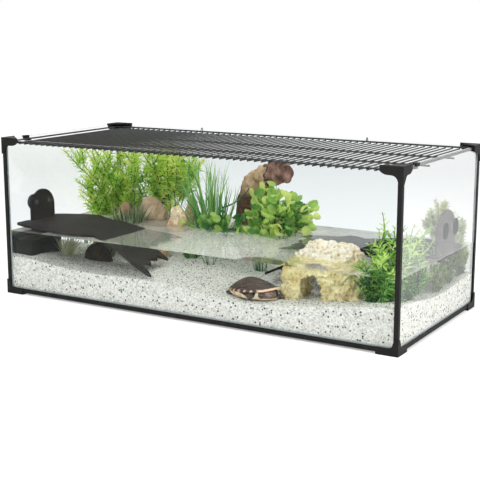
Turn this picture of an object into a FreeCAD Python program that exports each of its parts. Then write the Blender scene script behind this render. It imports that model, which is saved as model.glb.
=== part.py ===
import FreeCAD, Part
import math
import os
from FreeCAD import Vector

# A low glass turtle tank with black corner fittings, a welded wire lid that
# hangs just inside the rim, two basking platforms on suction-cup brackets,
# a filter, a gravel bed, rocks, driftwood, plants and a turtle.
# Millimetres. X runs along the tank, Y from front to back, Z up.
# The origin is at the middle of the footprint, under the feet.

# Overall size, over the corner fittings
overall_length = 1000.0
overall_depth = 445.0
overall_height = 370.0

# Glass
pane_thickness = 5.0
base_thickness = 5.0
seal_leg = 5.0

# Fits between pieces
glass_fit = 0.3
plastic_fit = 0.2
seat_gap = 0.3

# Black plastic edge guards and base trims
guard_wall = 1.5
guard_leg = 9.5
trim_height = 10.0
trim_flange = 12.0

# Corner fittings
fitting_wall = 2.0
cap_roof = 3.4
cap_wing_x = 49.0
cap_wing_y = 45.0
cap_wing_end = 11.0
cap_wing_depth = 18.0
cap_drop = 38.0
foot_floor = 4.2
foot_wing_x = 48.0
foot_wing_y = 45.0
foot_wing_height = 15.5
foot_rise = 33.0
fitting_corner_radius = 1.6

# Wire lid
frame_wire = 4.0
bar_wire = 3.0
bar_pitch = 16.5
cross_rod_count = 2
frame_bend_radius = 9.0
lid_drop = 4.0
weld_gap = 0.02
hook_wire = 2.0
hook_offset = 228.0
hook_clearance = 0.4
hook_tip = 4.0
clip_gap = 25.0
clip_length = 16.0
clip_wall = 1.8
clip_lip = 7.0

# Basking platforms and their brackets
platform_thickness = 6.0
platform_wall_gap = 1.0
platform_flat = 90.0
platform_reach = 266.0
platform_fall = 15.0
ramp_end = 400.0
ramp_fall = 64.0
bracket_thickness = 5.0
bracket_standoff = 8.0
bracket_below = 10.0
shelf_length = 62.0
shelf_width = 60.0
shelf_thickness = 4.0
rib_depth = 9.0
cup_radius = 18.0
cup_neck_radius = 4.0
cup_head_radius = 7.0
cup_head_thickness = 3.0
cup_fit = 0.3

# Each platform: level of its top at the wall, place on the plan, bracket size
left_platform = {"top": 165.0, "y": -108.0, "width": 83.0, "rise": 71.0, "cup_rise": 42.0}
right_platform = {"top": 158.0, "y": 59.0, "width": 106.0, "rise": 87.0, "cup_rise": 48.0}

# Filter
filter_width = 50.0
filter_length = 170.0
filter_height = 54.0
filter_from_front = 30.0
filter_sunk = 8.0
filter_corner = 5.0
cover_thickness = 2.0
cover_slot_pitch = 10.0
cover_slot_width = 4.0

# What stands in the tank is placed on a plan of this length, depth and height,
# which is laid out over the room inside the glass and under the lid
plan_length = 982.0
plan_depth = 427.0
plan_height = 350.0

# Gravel: level of the bed, its mounds as (x, y, height, radius), sinking depth
bed_level = 70.0
bed_mounds = [
    (-480.0, -150.0, 22.0, 190.0),
    (-130.0, 200.0, 36.0, 190.0),
    (140.0, -200.0, -12.0, 130.0),
    (480.0, -190.0, 24.0, 150.0),
    (440.0, 190.0, 12.0, 130.0),
    (-108.0, -115.0, 11.0, 150.0),
    (105.0, 60.0, 4.0, 150.0),
]
bed_columns = 25
bed_rows = 11
rock_sunk = 10.0
foot_disc_height = 12.0

# Rocks: middle, half sizes, top level, shape number, how far the top leans to the right
rocks = {
    "brown_rock": {"x": -274.0, "y": 90.0, "a": 55.0, "b": 32.0, "top": 209.0, "kind": 1.3, "lean": -25.0},
    "tan_rock_left": {"x": -194.0, "y": 46.0, "a": 33.0, "b": 23.0, "top": 198.0, "kind": 2.6, "lean": 5.0},
    "tan_rock_right": {"x": -226.0, "y": 150.0, "a": 24.0, "b": 20.0, "top": 209.0, "kind": 3.9, "lean": 12.0},
    "pink_rock": {"x": -380.0, "y": 90.0, "a": 24.0, "b": 20.0, "top": 185.0, "kind": 5.1, "lean": 2.0},
    "dark_rock": {"x": -322.0, "y": -40.0, "a": 46.0, "b": 27.0, "top": 116.0, "kind": 6.7, "lean": 6.0},
}
cave_rock = {"x": 284.0, "y": -100.0, "a": 108.0, "b": 50.0, "top": 187.0, "kind": 0.4, "lean": 14.0}
cave_mouth_aside = 7.0
cave_mouth_width = 50.0
cave_mouth_height = 58.0

# Driftwood: (x, y, z, half width, half depth) up its length
driftwood_stations = [
    (-60.0, 165.0, 84.0, 46.0, 27.0),
    (-60.0, 165.0, 130.0, 39.0, 24.0),
    (-58.0, 163.0, 172.0, 35.0, 22.0),
    (-50.0, 160.0, 212.0, 35.0, 21.0),
    (-32.0, 157.0, 246.0, 35.0, 21.0),
    (-4.0, 153.0, 270.0, 33.0, 20.0),
    (34.0, 150.0, 282.0, 28.0, 18.0),
    (60.0, 149.0, 284.0, 22.0, 15.0),
]

# Turtle
turtle_length = 118.0
turtle_width = 88.0
turtle_height = 44.0
turtle_x = 138.0
turtle_y = -148.0
turtle_heading = -14.0
turtle_sunk = 1.0

# What follows from the sizes above
wall_build = glass_fit + guard_wall + plastic_fit + fitting_wall
glass_length = overall_length - 2 * wall_build
glass_depth = overall_depth - 2 * wall_build
glass_x = glass_length / 2
glass_y = glass_depth / 2
inner_x = glass_x - pane_thickness
inner_y = glass_y - pane_thickness
trim_bottom = foot_floor + seat_gap
base_bottom = trim_bottom + guard_wall + glass_fit
base_top = base_bottom + base_thickness
glass_top = overall_height - cap_roof - glass_fit
guard_out = glass_fit + guard_wall
trim_top = trim_bottom + trim_height
lid_clearance = hook_clearance + hook_wire + weld_gap
frame_x = inner_x - lid_clearance - frame_wire / 2
frame_y = inner_y - lid_clearance - frame_wire / 2
frame_z = glass_top - lid_drop - frame_wire / 2
bar_z = frame_z - frame_wire / 2 - bar_wire / 2 - weld_gap
cross_z = bar_z - bar_wire / 2 - frame_wire / 2 - weld_gap


room_top = cross_z - frame_wire / 2 - seat_gap


def spot(x, y, z=0.0):
    """A place on the plan, laid out over the room inside the glass."""
    return Vector(x * 2 * inner_x / plan_length, y * 2 * inner_y / plan_depth, z * room_top / plan_height)


def save(shape, name):
    """Write one piece under its own name."""
    shape.exportStep("parts/" + name + ".step")
    print(name, len(shape.Solids), "solid", round(shape.Volume / 1000, 2), "ml")


def block(x0, y0, z0, x1, y1, z1):
    """A box between two corners."""
    return Part.makeBox(x1 - x0, y1 - y0, z1 - z0, Vector(x0, y0, z0))


def mirrored(shape, side_x, side_y):
    """A copy turned over to the side given by the two signs."""
    if side_x < 0:
        shape = shape.mirror(Vector(0, 0, 0), Vector(1, 0, 0))
    if side_y < 0:
        shape = shape.mirror(Vector(0, 0, 0), Vector(0, 1, 0))
    return shape


def prism(points, along):
    """A flat closed outline pushed along a vector."""
    wire = Part.makePolygon([Vector(*p) for p in points] + [Vector(*points[0])])
    return Part.Face(wire).extrude(Vector(*along))


def outline_face(edges):
    """A face inside a closed chain of edges."""
    return Part.Face(Part.Wire(edges))


def line(p, q):
    return Part.makeLine(Vector(*p), Vector(*q))


def arc(p, middle, q):
    return Part.Arc(Vector(*p), Vector(*middle), Vector(*q)).toShape()


def rod(start, end, diameter):
    """A straight round wire."""
    start, end = Vector(*start), Vector(*end)
    return Part.makeCylinder(diameter / 2, (end - start).Length, start, end - start)


def bent(centre, start, axis, angle, diameter):
    """A round wire bent about a centre, from a starting place, by an angle."""
    centre, start, axis = Vector(*centre), Vector(*start), Vector(*axis)
    way = axis.cross(start - centre)
    section = Part.Face(Part.Wire(Part.makeCircle(diameter / 2, start, way)))
    return section.revolve(centre, axis, angle)


def closed_solid(points, facets):
    """A closed solid from corner points and the facets between them."""
    shape = Part.Shape()
    shape.makeShapeFromMesh((points, facets), 0.001)
    solid = Part.Solid(shape.Shells[0])
    if solid.Volume < 0:
        solid.reverse()
    return solid


def ring_solid(rings, cap_low=None, cap_high=None):
    """A closed solid skinned over rings of points, all with as many points."""
    count = len(rings[0])
    points = [p for ring in rings for p in ring]
    facets = []
    for level in range(len(rings) - 1):
        low, high = level * count, (level + 1) * count
        for k in range(count):
            n = (k + 1) % count
            facets.append((low + k, low + n, high + n))
            facets.append((low + k, high + n, high + k))
    for ring, apex, turn in ((0, cap_low, -1), (len(rings) - 1, cap_high, 1)):
        if apex is None:
            apex = sum((p for p in rings[ring]), Vector()) * (1.0 / count)
        points.append(apex)
        for k in range(count):
            a, b = ring * count + k, ring * count + (k + 1) % count
            facets.append((a, b, len(points) - 1) if turn > 0 else (b, a, len(points) - 1))
    return closed_solid(points, facets)


# Glass panes: the four walls stand on the base pane

def wall_lengthwise(side):
    """Front or back pane, as long as the glass box."""
    y0, y1 = sorted((side * inner_y, side * glass_y))
    return block(-glass_x, y0, base_top, glass_x, y1, glass_top)


def wall_crosswise(side):
    """Left or right pane, between the front and back panes."""
    x0, x1 = sorted((side * inner_x, side * glass_x))
    return block(x0, -inner_y, base_top, x1, inner_y, glass_top)


def silicone_seal():
    """Corner beads of sealant up the four inner edges and round the floor."""
    beads = []
    top = glass_top - lid_drop * 4
    for side_x in (-1, 1):
        for side_y in (-1, 1):
            corner = (side_x * inner_x, side_y * inner_y, base_top)
            beads.append(prism([corner,
                                (corner[0] - side_x * seal_leg, corner[1], base_top),
                                (corner[0], corner[1] - side_y * seal_leg, base_top)],
                               (0, 0, top - base_top)))
    for side in (-1, 1):
        beads.append(prism([(-inner_x, side * inner_y, base_top),
                            (-inner_x, side * (inner_y - seal_leg), base_top),
                            (-inner_x, side * inner_y, base_top + seal_leg)],
                           (2 * inner_x, 0, 0)))
        beads.append(prism([(side * inner_x, -inner_y, base_top),
                            (side * (inner_x - seal_leg), -inner_y, base_top),
                            (side * inner_x, -inner_y, base_top + seal_leg)],
                           (0, 2 * inner_y, 0)))
    return beads[0].fuse(beads[1:]).removeSplitter()


# Edge guards on the upright edges, and trims round the base

def edge_guard():
    """The L-shaped guard of the back right edge."""
    out_x, out_y = glass_x + guard_out, glass_y + guard_out
    low = trim_top + plastic_fit
    outer = block(out_x - guard_leg, out_y - guard_leg, low, out_x, out_y, glass_top)
    inner = block(out_x - guard_leg - 1, out_y - guard_leg - 1, low - 1,
                  out_x - guard_wall, out_y - guard_wall, glass_top + 1)
    guard = outer.cut(inner)
    edge = [e for e in guard.Edges
            if abs(e.Vertexes[0].X - out_x) < 0.01 and abs(e.Vertexes[-1].X - out_x) < 0.01
            and abs(e.Vertexes[0].Y - out_y) < 0.01 and abs(e.Vertexes[-1].Y - out_y) < 0.01]
    return guard.makeFillet(guard_wall * 0.6, edge)


def base_trim(along_x, side):
    """An angle strip that holds the lower edge of one wall and the base pane."""
    out_x, out_y = glass_x + guard_out, glass_y + guard_out
    if along_x:
        profile = [(-out_x, side * out_y, trim_bottom),
                   (-out_x, side * (out_y - trim_flange), trim_bottom),
                   (-out_x, side * (out_y - trim_flange), trim_bottom + guard_wall),
                   (-out_x, side * (out_y - guard_wall), trim_bottom + guard_wall),
                   (-out_x, side * (out_y - guard_wall), trim_top),
                   (-out_x, side * out_y, trim_top)]
        return prism(profile, (2 * out_x, 0, 0))
    end = out_y - trim_flange - plastic_fit
    profile = [(side * out_x, -end, trim_bottom),
               (side * (out_x - trim_flange), -end, trim_bottom),
               (side * (out_x - trim_flange), -end, trim_bottom + guard_wall),
               (side * (out_x - guard_wall), -end, trim_bottom + guard_wall),
               (side * (out_x - guard_wall), -end, trim_top),
               (side * out_x, -end, trim_top)]
    strip = prism(profile, (0, 2 * end, 0))
    reach = out_y - guard_wall - plastic_fit
    x0, x1 = sorted((side * out_x, side * (out_x - guard_wall)))
    upright = block(x0, -reach, trim_bottom + guard_wall + plastic_fit, x1, reach, trim_top)
    return strip.fuse(upright).removeSplitter()


# Corner fittings: a wall that wraps the corner, cut to the wing outline

def corner_wrap(low, high, wing_x, wing_y):
    """The angle-shaped wall of the back right corner fitting."""
    half_x, half_y = overall_length / 2, overall_depth / 2
    outer = block(half_x - wing_x, half_y - wing_y, low, half_x, half_y, high)
    edge = [e for e in outer.Edges
            if abs(e.Vertexes[0].X - half_x) < 0.01 and abs(e.Vertexes[-1].X - half_x) < 0.01
            and abs(e.Vertexes[0].Y - half_y) < 0.01 and abs(e.Vertexes[-1].Y - half_y) < 0.01]
    outer = outer.makeFillet(fitting_corner_radius, edge)
    inner = block(half_x - wing_x - 1, half_y - wing_y - 1, low - 1,
                  half_x - fitting_wall, half_y - fitting_wall, high + 1)
    return outer.cut(inner)


def cap_wing(reach, place):
    """One wing outline of a top cap, from the corner inward, pushed across it."""
    top, end, deep = overall_height, cap_wing_end, cap_wing_depth
    neck = guard_leg * 1.25

    def at(distance, drop):
        return place(distance, top - drop)

    edges = [line(at(0, 0), at(reach, 0)),
             line(at(reach, 0), at(reach, end)),
             arc(at(reach, end), at(reach * 0.88, end + (deep - end) * 0.62), at(reach * 0.72, deep)),
             line(at(reach * 0.72, deep), at(reach * 0.46, deep + 0.6)),
             arc(at(reach * 0.46, deep + 0.6), at(neck + 4.0, deep + 3.8), at(neck, deep + 10.0)),
             line(at(neck, deep + 10.0), at(guard_leg * 0.5, cap_drop)),
             line(at(guard_leg * 0.5, cap_drop), at(0, cap_drop)),
             line(at(0, cap_drop), at(0, 0))]
    return outline_face(edges)


def top_cap():
    """The cap of the back right corner, with a three-sided roof over the rim."""
    half_x, half_y = overall_length / 2, overall_depth / 2
    wrap = corner_wrap(overall_height - cap_drop, overall_height, cap_wing_x, cap_wing_y)
    along = cap_wing(cap_wing_x, lambda d, z: (half_x - d, half_y + 1, z))
    along = along.extrude(Vector(0, -fitting_wall - 1, 0))
    across = cap_wing(cap_wing_y, lambda d, z: (half_x + 1, half_y - d, z))
    across = across.extrude(Vector(-fitting_wall - 1, 0, 0))
    wings = wrap.common(along.fuse(across))
    low = overall_height - cap_roof
    roof = prism([(half_x, half_y, low), (half_x - cap_wing_x, half_y, low),
                  (half_x, half_y - cap_wing_y, low)], (0, 0, cap_roof))
    corner = corner_wrap(low, overall_height, cap_wing_x, cap_wing_y)
    keep = corner.fuse(block(half_x - cap_wing_x, half_y - cap_wing_y, low,
                             half_x - fitting_wall, half_y - fitting_wall, overall_height))
    return wings.fuse(roof.common(keep)).removeSplitter()


def foot_wing(reach, place):
    """One wing outline of a foot, from the corner inward."""
    neck = guard_leg * 1.25

    def at(distance, height):
        return place(distance, height)

    high = foot_wing_height
    edges = [line(at(0, 0), at(reach, 0)),
             line(at(reach, 0), at(reach, high)),
             line(at(reach, high), at(neck + 10.0, high)),
             arc(at(neck + 10.0, high), at(neck + 2.9, high + 2.9), at(neck, high + 10.0)),
             line(at(neck, high + 10.0), at(guard_leg * 0.9, foot_rise)),
             line(at(guard_leg * 0.9, foot_rise), at(0, foot_rise)),
             line(at(0, foot_rise), at(0, 0))]
    return outline_face(edges)


def corner_foot():
    """The foot of the back right corner, with a floor under the trims."""
    half_x, half_y = overall_length / 2, overall_depth / 2
    wrap = corner_wrap(0, foot_rise, foot_wing_x, foot_wing_y)
    along = foot_wing(foot_wing_x, lambda d, z: (half_x - d, half_y + 1, z))
    along = along.extrude(Vector(0, -fitting_wall - 1, 0))
    across = foot_wing(foot_wing_y, lambda d, z: (half_x + 1, half_y - d, z))
    across = across.extrude(Vector(-fitting_wall - 1, 0, 0))
    wings = wrap.common(along.fuse(across))
    inset = fitting_corner_radius
    floor = prism([(half_x - inset, half_y - inset, 0),
                   (half_x - foot_wing_x, half_y - inset, 0),
                   (half_x - foot_wing_x, half_y - trim_flange * 1.5, 0),
                   (half_x - trim_flange * 1.5, half_y - foot_wing_y, 0),
                   (half_x - inset, half_y - foot_wing_y, 0)], (0, 0, foot_floor))
    return wings.fuse(floor).removeSplitter()


# Wire lid

def lid_frame():
    """One wire bent to a rectangle with rounded corners."""
    x, y, r, z = frame_x, frame_y, frame_bend_radius, frame_z
    pieces = []
    for side in (-1, 1):
        pieces.append(rod((-x + r, side * y, z), (x - r, side * y, z), frame_wire))
        pieces.append(rod((side * x, -y + r, z), (side * x, y - r, z), frame_wire))
    for side_x, side_y in ((1, -1), (1, 1), (-1, 1), (-1, -1)):
        centre = (side_x * (x - r), side_y * (y - r), z)
        start = 90 * [(1, 1), (-1, 1), (-1, -1), (1, -1)].index((side_x, side_y))
        turn = math.radians(start)
        first = (centre[0] + r * math.cos(turn), centre[1] + r * math.sin(turn), z)
        pieces.append(bent(centre, first, (0, 0, 1), 90, frame_wire))
    return pieces[0].fuse(pieces[1:]).removeSplitter()


def lid_bars():
    """The close bars across the lid, welded under its frame."""
    spaces = max(2, round(2 * frame_x / bar_pitch))
    step = 2 * frame_x / spaces
    reach = frame_y + frame_wire / 2
    bars = [rod((-frame_x + k * step, -reach, bar_z), (-frame_x + k * step, reach, bar_z), bar_wire)
            for k in range(1, spaces)]
    return Part.makeCompound(bars)


def lid_cross_rods():
    """The long rods under the bars, spaced evenly from front to back."""
    step = 2 * frame_y / (cross_rod_count + 1)
    reach = frame_x + frame_wire / 2
    rods = [rod((-reach, -frame_y + k * step, cross_z), (reach, -frame_y + k * step, cross_z), frame_wire)
            for k in range(1, cross_rod_count + 1)]
    return Part.makeCompound(rods)


def lid_hook(x):
    """A wire hook welded to the back of the frame and hung over the back pane."""
    inner_radius = pane_thickness / 2 + hook_clearance
    bend = inner_radius + hook_wire / 2
    middle_y = inner_y + pane_thickness / 2
    reach = inner_radius - 0.05
    middle_z = glass_top - math.sqrt(reach ** 2 - (pane_thickness / 2) ** 2)
    low = frame_z - frame_wire / 2
    stem = rod((x, middle_y - bend, low), (x, middle_y - bend, middle_z), hook_wire)
    crown = bent((x, middle_y, middle_z), (x, middle_y - bend, middle_z), (-1, 0, 0), 180, hook_wire)
    tip = rod((x, middle_y + bend, middle_z), (x, middle_y + bend, middle_z - hook_tip), hook_wire)
    return stem.fuse([crown, tip]).removeSplitter()


def lid_clip():
    """The right-hand clip: a saddle over the side pane with a seat for the frame."""
    y0 = -overall_depth / 2 + cap_wing_y + clip_gap
    y1 = y0 + clip_length
    leg_in = frame_x + frame_wire / 2 + plastic_fit
    leg_out = inner_x - plastic_fit
    roof_low = glass_top + plastic_fit
    roof_high = roof_low + clip_wall
    seat = frame_z - frame_wire / 2 - plastic_fit
    lip_in = glass_x + glass_fit
    outline = [(leg_in, y0, roof_high), (lip_in + clip_wall, y0, roof_high),
               (lip_in + clip_wall, y0, roof_high - clip_lip), (lip_in, y0, roof_high - clip_lip),
               (lip_in, y0, roof_low), (leg_out, y0, roof_low),
               (leg_out, y0, seat - clip_wall), (frame_x - frame_wire, y0, seat - clip_wall),
               (frame_x - frame_wire, y0, seat), (leg_in, y0, seat)]
    clip = prism(outline, (0, y1 - y0, 0))
    spaces = max(2, round(2 * frame_x / bar_pitch))
    step = 2 * frame_x / spaces
    room = bar_wire / 2 + plastic_fit
    first_bar = frame_x - step
    if frame_x - frame_wire < first_bar + room:
        clip = clip.cut(block(first_bar - room, y0 - 1, bar_z - room, first_bar + room, y1 + 1, bar_z + room))
    return clip


# Basking platforms: modelled for the left wall, x from the glass, y from the bracket

platform_front_edge = [(0, -81), (42, -97), (135, -105), (180, -91), (223, -71), (248, -85),
                       (270, -91), (292, -75), (331, -89), (390, -95)]
platform_ramp_edge = [(397, -85), (372, -67), (360, -43), (368, -23), (352, -1), (360, 29),
                      (350, 47), (369, 73)]
platform_back_edge = [(340, 83), (271, 74), (229, 85), (184, 95), (150, 91), (105, 103), (60, 91),
                      (17, 71), (0, 61)]


def platform_sheet(place):
    """A thin moulded board, level at the wall, that falls into a ramp."""
    top = place["top"]
    levels = [(0, top), (platform_flat, top), (platform_reach, top - platform_fall),
              (ramp_end, top - platform_fall - ramp_fall)]
    wide = 200.0
    surface = [(x, -wide, z) for x, z in levels]
    underside = [(x, -wide, z - platform_thickness) for x, z in reversed(levels)]
    ribbon = prism(surface + underside, (0, 2 * wide, 0))
    outline = platform_front_edge + platform_ramp_edge + platform_back_edge
    outline = [(max(x, platform_wall_gap), y, 0) for x, y in outline]
    board = prism(outline, (0, 0, top + 50)).common(ribbon)
    half = place["width"] / 2 + cup_fit
    notch = block(-1, -half, 0, bracket_standoff + bracket_thickness + cup_fit, half, top + 50)
    return max(board.cut(notch).Solids, key=lambda solid: solid.Volume)


def platform_bracket(place):
    """An arched plate with holes for the cups and a ribbed shelf under the board."""
    half, top = place["width"] / 2, place["top"]
    x0 = bracket_standoff
    spring = top + place["rise"] - half
    under = top - platform_thickness
    low = under - bracket_below
    face = outline_face([
        line((x0, -half, low), (x0, half, low)),
        line((x0, half, low), (x0, half, spring)),
        arc((x0, half, spring), (x0, 0, spring + half), (x0, -half, spring)),
        line((x0, -half, spring), (x0, -half, low))])
    plate = face.extrude(Vector(bracket_thickness, 0, 0))
    for y in (-place["width"] * 0.28, place["width"] * 0.28):
        hole = Part.makeCylinder(cup_neck_radius + cup_fit, bracket_thickness + 2,
                                 Vector(x0 - 1, y, top + place["cup_rise"]), Vector(1, 0, 0))
        plate = plate.cut(hole)
    shelf = block(x0, -shelf_width / 2, under - shelf_thickness,
                  x0 + bracket_thickness + shelf_length, shelf_width / 2, under)
    bracket = plate.fuse(shelf)
    for y in (-shelf_width * 0.35, shelf_width * 0.35):
        start = x0 + bracket_thickness
        rib = prism([(start - 1, y - 1.5, under - shelf_thickness),
                     (start + shelf_length * 0.8, y - 1.5, under - shelf_thickness),
                     (start - 1, y - 1.5, under - shelf_thickness - rib_depth + 3)], (0, 3, 0))
        bracket = bracket.fuse(rib)
    return bracket.removeSplitter()


def suction_cup(y, z):
    """A turned soft cup with a neck through the bracket and a button head."""
    neck_end = bracket_standoff + bracket_thickness + cup_fit
    profile = [(0, 0), (0, cup_radius), (1.2, cup_radius), (3.0, cup_radius * 0.66),
               (5.6, cup_radius * 0.42), (bracket_standoff - cup_fit, cup_radius * 0.34),
               (bracket_standoff - cup_fit, cup_neck_radius), (neck_end, cup_neck_radius),
               (neck_end, cup_head_radius), (neck_end + cup_head_thickness * 0.6, cup_head_radius),
               (neck_end + cup_head_thickness, cup_head_radius * 0.6),
               (neck_end + cup_head_thickness, 0)]
    wire = Part.makePolygon([Vector(x, 0, r) for x, r in profile] + [Vector(0, 0, 0)])
    cup = Part.Face(wire).revolve(Vector(0, 0, 0), Vector(1, 0, 0), 360)
    cup.translate(Vector(0, y, z))
    return cup


def on_wall(shape, place, side):
    """Move a left-wall piece to its wall; the right one is turned half round."""
    shape = shape.copy()
    if side > 0:
        shape.rotate(Vector(0, 0, 0), Vector(0, 0, 1), 180)
    shape.translate(Vector(side * inner_x, spot(0, place["y"]).y, 0))
    return shape


def suction_cups(place):
    cups = [suction_cup(y, place["top"] + place["cup_rise"])
            for y in (-place["width"] * 0.28, place["width"] * 0.28)]
    return Part.makeCompound(cups)


# Gravel bed

def bed_height(x, y):
    """Level of the gravel at a place: the bed level and its mounds."""
    level = bed_level
    for mx, my, height, radius in bed_mounds:
        top = spot(mx, my)
        level += height * math.exp(-((x - top.x) ** 2 + (y - top.y) ** 2) / (2 * (radius * 0.6) ** 2))
    return level


def bed_lowest(x, y, a, b):
    spots = [(x + a * u, y + b * v) for u in (-1, 0, 1) for v in (-1, 0, 1)]
    return min(bed_height(*spot) for spot in spots)


def bed_highest(x, y, a, b):
    spots = [(x + a * u, y + b * v) for u in (-1, -0.5, 0, 0.5, 1) for v in (-1, -0.5, 0, 0.5, 1)]
    return max(bed_height(*spot) for spot in spots)


def hollow(foot):
    """The room of a round plant foot in the gravel: the foot and a small gap round it."""
    box = foot.BoundBox
    room = foot.copy()
    room.scale(1 + 2 * seat_gap / box.XLength, Vector(box.Center.x, box.Center.y, box.ZMin))
    return room


def gravel_bed(sunk_pieces):
    """The bed inside the glass: a heap with a wavy top, hollowed where pieces sink into it."""
    margin = 6.0
    points, facets = [], []
    for i in range(bed_columns):
        x = (inner_x + margin) * (2 * i / (bed_columns - 1) - 1)
        for j in range(bed_rows):
            y = (inner_y + margin) * (2 * j / (bed_rows - 1) - 1)
            points += [Vector(x, y, bed_height(x, y)), Vector(x, y, 0)]

    def top(i, j):
        return 2 * (i * bed_rows + j)

    for i in range(bed_columns - 1):
        for j in range(bed_rows - 1):
            a, b, c, d = top(i, j), top(i + 1, j), top(i + 1, j + 1), top(i, j + 1)
            facets += [(a, b, c), (a, c, d), (c + 1, b + 1, a + 1), (d + 1, c + 1, a + 1)]
    rim = [(i, 0) for i in range(bed_columns - 1)] + [(bed_columns - 1, j) for j in range(bed_rows - 1)]
    rim += [(i, bed_rows - 1) for i in range(bed_columns - 1, 0, -1)] + [(0, j) for j in range(bed_rows - 1, 0, -1)]
    for k, place in enumerate(rim):
        a, b = top(*place), top(*rim[(k + 1) % len(rim)])
        facets += [(a + 1, b + 1, b), (a + 1, b, a)]
    heap = closed_solid(points, facets)
    inside = block(-inner_x, -inner_y, base_top, inner_x, inner_y, overall_height)
    bed = heap.common(inside).cut(sunk_pieces)
    return max(bed.Solids, key=lambda solid: solid.Volume)


# Rocks

def rock(place, sides=11, levels=6):
    """A weathered stone: rings that draw in late, so that its top is broad, with uneven corners."""
    peak = spot(place["x"], place["y"], place["top"])
    bottom = bed_lowest(peak.x, peak.y, place["a"], place["b"]) - rock_sunk
    height = peak.z - bottom
    rings = []
    for level in range(levels):
        share = 1 - (1 - level / levels) ** 1.25
        swell = (1 - (share * 0.97) ** 2.6) ** 0.42
        ring = []
        for k in range(sides):
            turn = 2 * math.pi * k / sides
            rough = 1 + 0.10 * math.sin(3 * turn + place["kind"] * 2 + level * 0.9)
            rough += 0.06 * math.sin(5 * turn + place["kind"] * 5 + level * 1.7)
            lean = place["lean"] * share
            x = peak.x + lean + place["a"] * 0.86 * swell * rough * math.cos(turn)
            y = peak.y + place["b"] * 0.86 * swell * rough * math.sin(turn)
            z = bottom + height * share + (3.5 * math.sin(turn * 2 + place["kind"]) if level else 0)
            ring.append(Vector(x, y, z))
        rings.append(ring)
    return ring_solid(rings, cap_high=peak + Vector(place["lean"], 0, 0))


def cave():
    """A long porous stone with an arched tunnel through it."""
    stone = rock(cave_rock, sides=16, levels=8)
    half = cave_mouth_width / 2
    deep = cave_rock["b"] * 2.8
    middle = spot(cave_rock["x"], cave_rock["y"])
    x, y = middle.x - cave_mouth_aside, middle.y - deep / 2
    floor = bed_lowest(x, middle.y, half, cave_rock["b"]) - rock_sunk * 0.4
    spring = floor + cave_mouth_height - half
    mouth = outline_face([
        line((x - half, y, 0), (x + half, y, 0)),
        line((x + half, y, 0), (x + half, y, spring)),
        arc((x + half, y, spring), (x, y, spring + half), (x - half, y, spring)),
        line((x - half, y, spring), (x - half, y, 0))])
    tunnel = mouth.extrude(Vector(0, deep, 0))
    tunnel = tunnel.cut(block(x - half - 1, y - 1, -1, x + half + 1, y + deep + 1, floor - rock_sunk * 0.2))
    return max(stone.cut(tunnel).Solids, key=lambda solid: solid.Volume)


def driftwood():
    """A bent limb with a ridged bark, thicker at its foot, that ends in a blunt nose."""
    rings = []
    for level, (x, y, z, a, b) in enumerate(driftwood_stations):
        following = driftwood_stations[min(level + 1, len(driftwood_stations) - 1)]
        before = driftwood_stations[max(level - 1, 0)]
        way = Vector(following[0] - before[0], following[1] - before[1], following[2] - before[2])
        way.normalize()
        across = Vector(way.z, 0, -way.x)
        across.normalize()
        deep = way.cross(across)
        ring = []
        for k in range(12):
            turn = 2 * math.pi * k / 12
            ridge = 1 + 0.12 * math.sin(3 * turn + level * 0.5) + 0.07 * math.sin(6 * turn + level)
            ring.append(spot(x, y, z) + across * (a * ridge * math.cos(turn))
                        + deep * (b * ridge * math.sin(turn)))
        rings.append(ring)
    return ring_solid(rings)


# Plants: each stem is one closed solid whose leaves grow out of its sides

def flat_foot(ring, level):
    """Let down the first ring of a stem onto the level where it stands."""
    return [Vector(p.x, p.y, level) for p in ring]


def spread(tips, x, y, reach_x, reach_y, level):
    """Pair each tip with a root, in the same order round the middle of a plant."""
    middle = spot(x, y)
    tips = [spot(*tip) for tip in tips]
    tips.sort(key=lambda tip: math.atan2(tip.y - middle.y, tip.x - middle.x))
    first = math.atan2(tips[0].y - middle.y, tips[0].x - middle.x)
    pairs = []
    for k, tip in enumerate(tips):
        turn = first + 2 * math.pi * k / len(tips)
        root = Vector(middle.x + reach_x * math.cos(turn), middle.y + reach_y * math.sin(turn), level)
        pairs.append((root, tip))
    return pairs


def frame_along(way):
    """Two directions square to a way."""
    side = way.cross(Vector(0, 0, 1))
    if side.Length < 0.05:
        side = Vector(1, 0, 0)
    side.normalize()
    up = side.cross(way)
    up.normalize()
    return side, up


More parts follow.
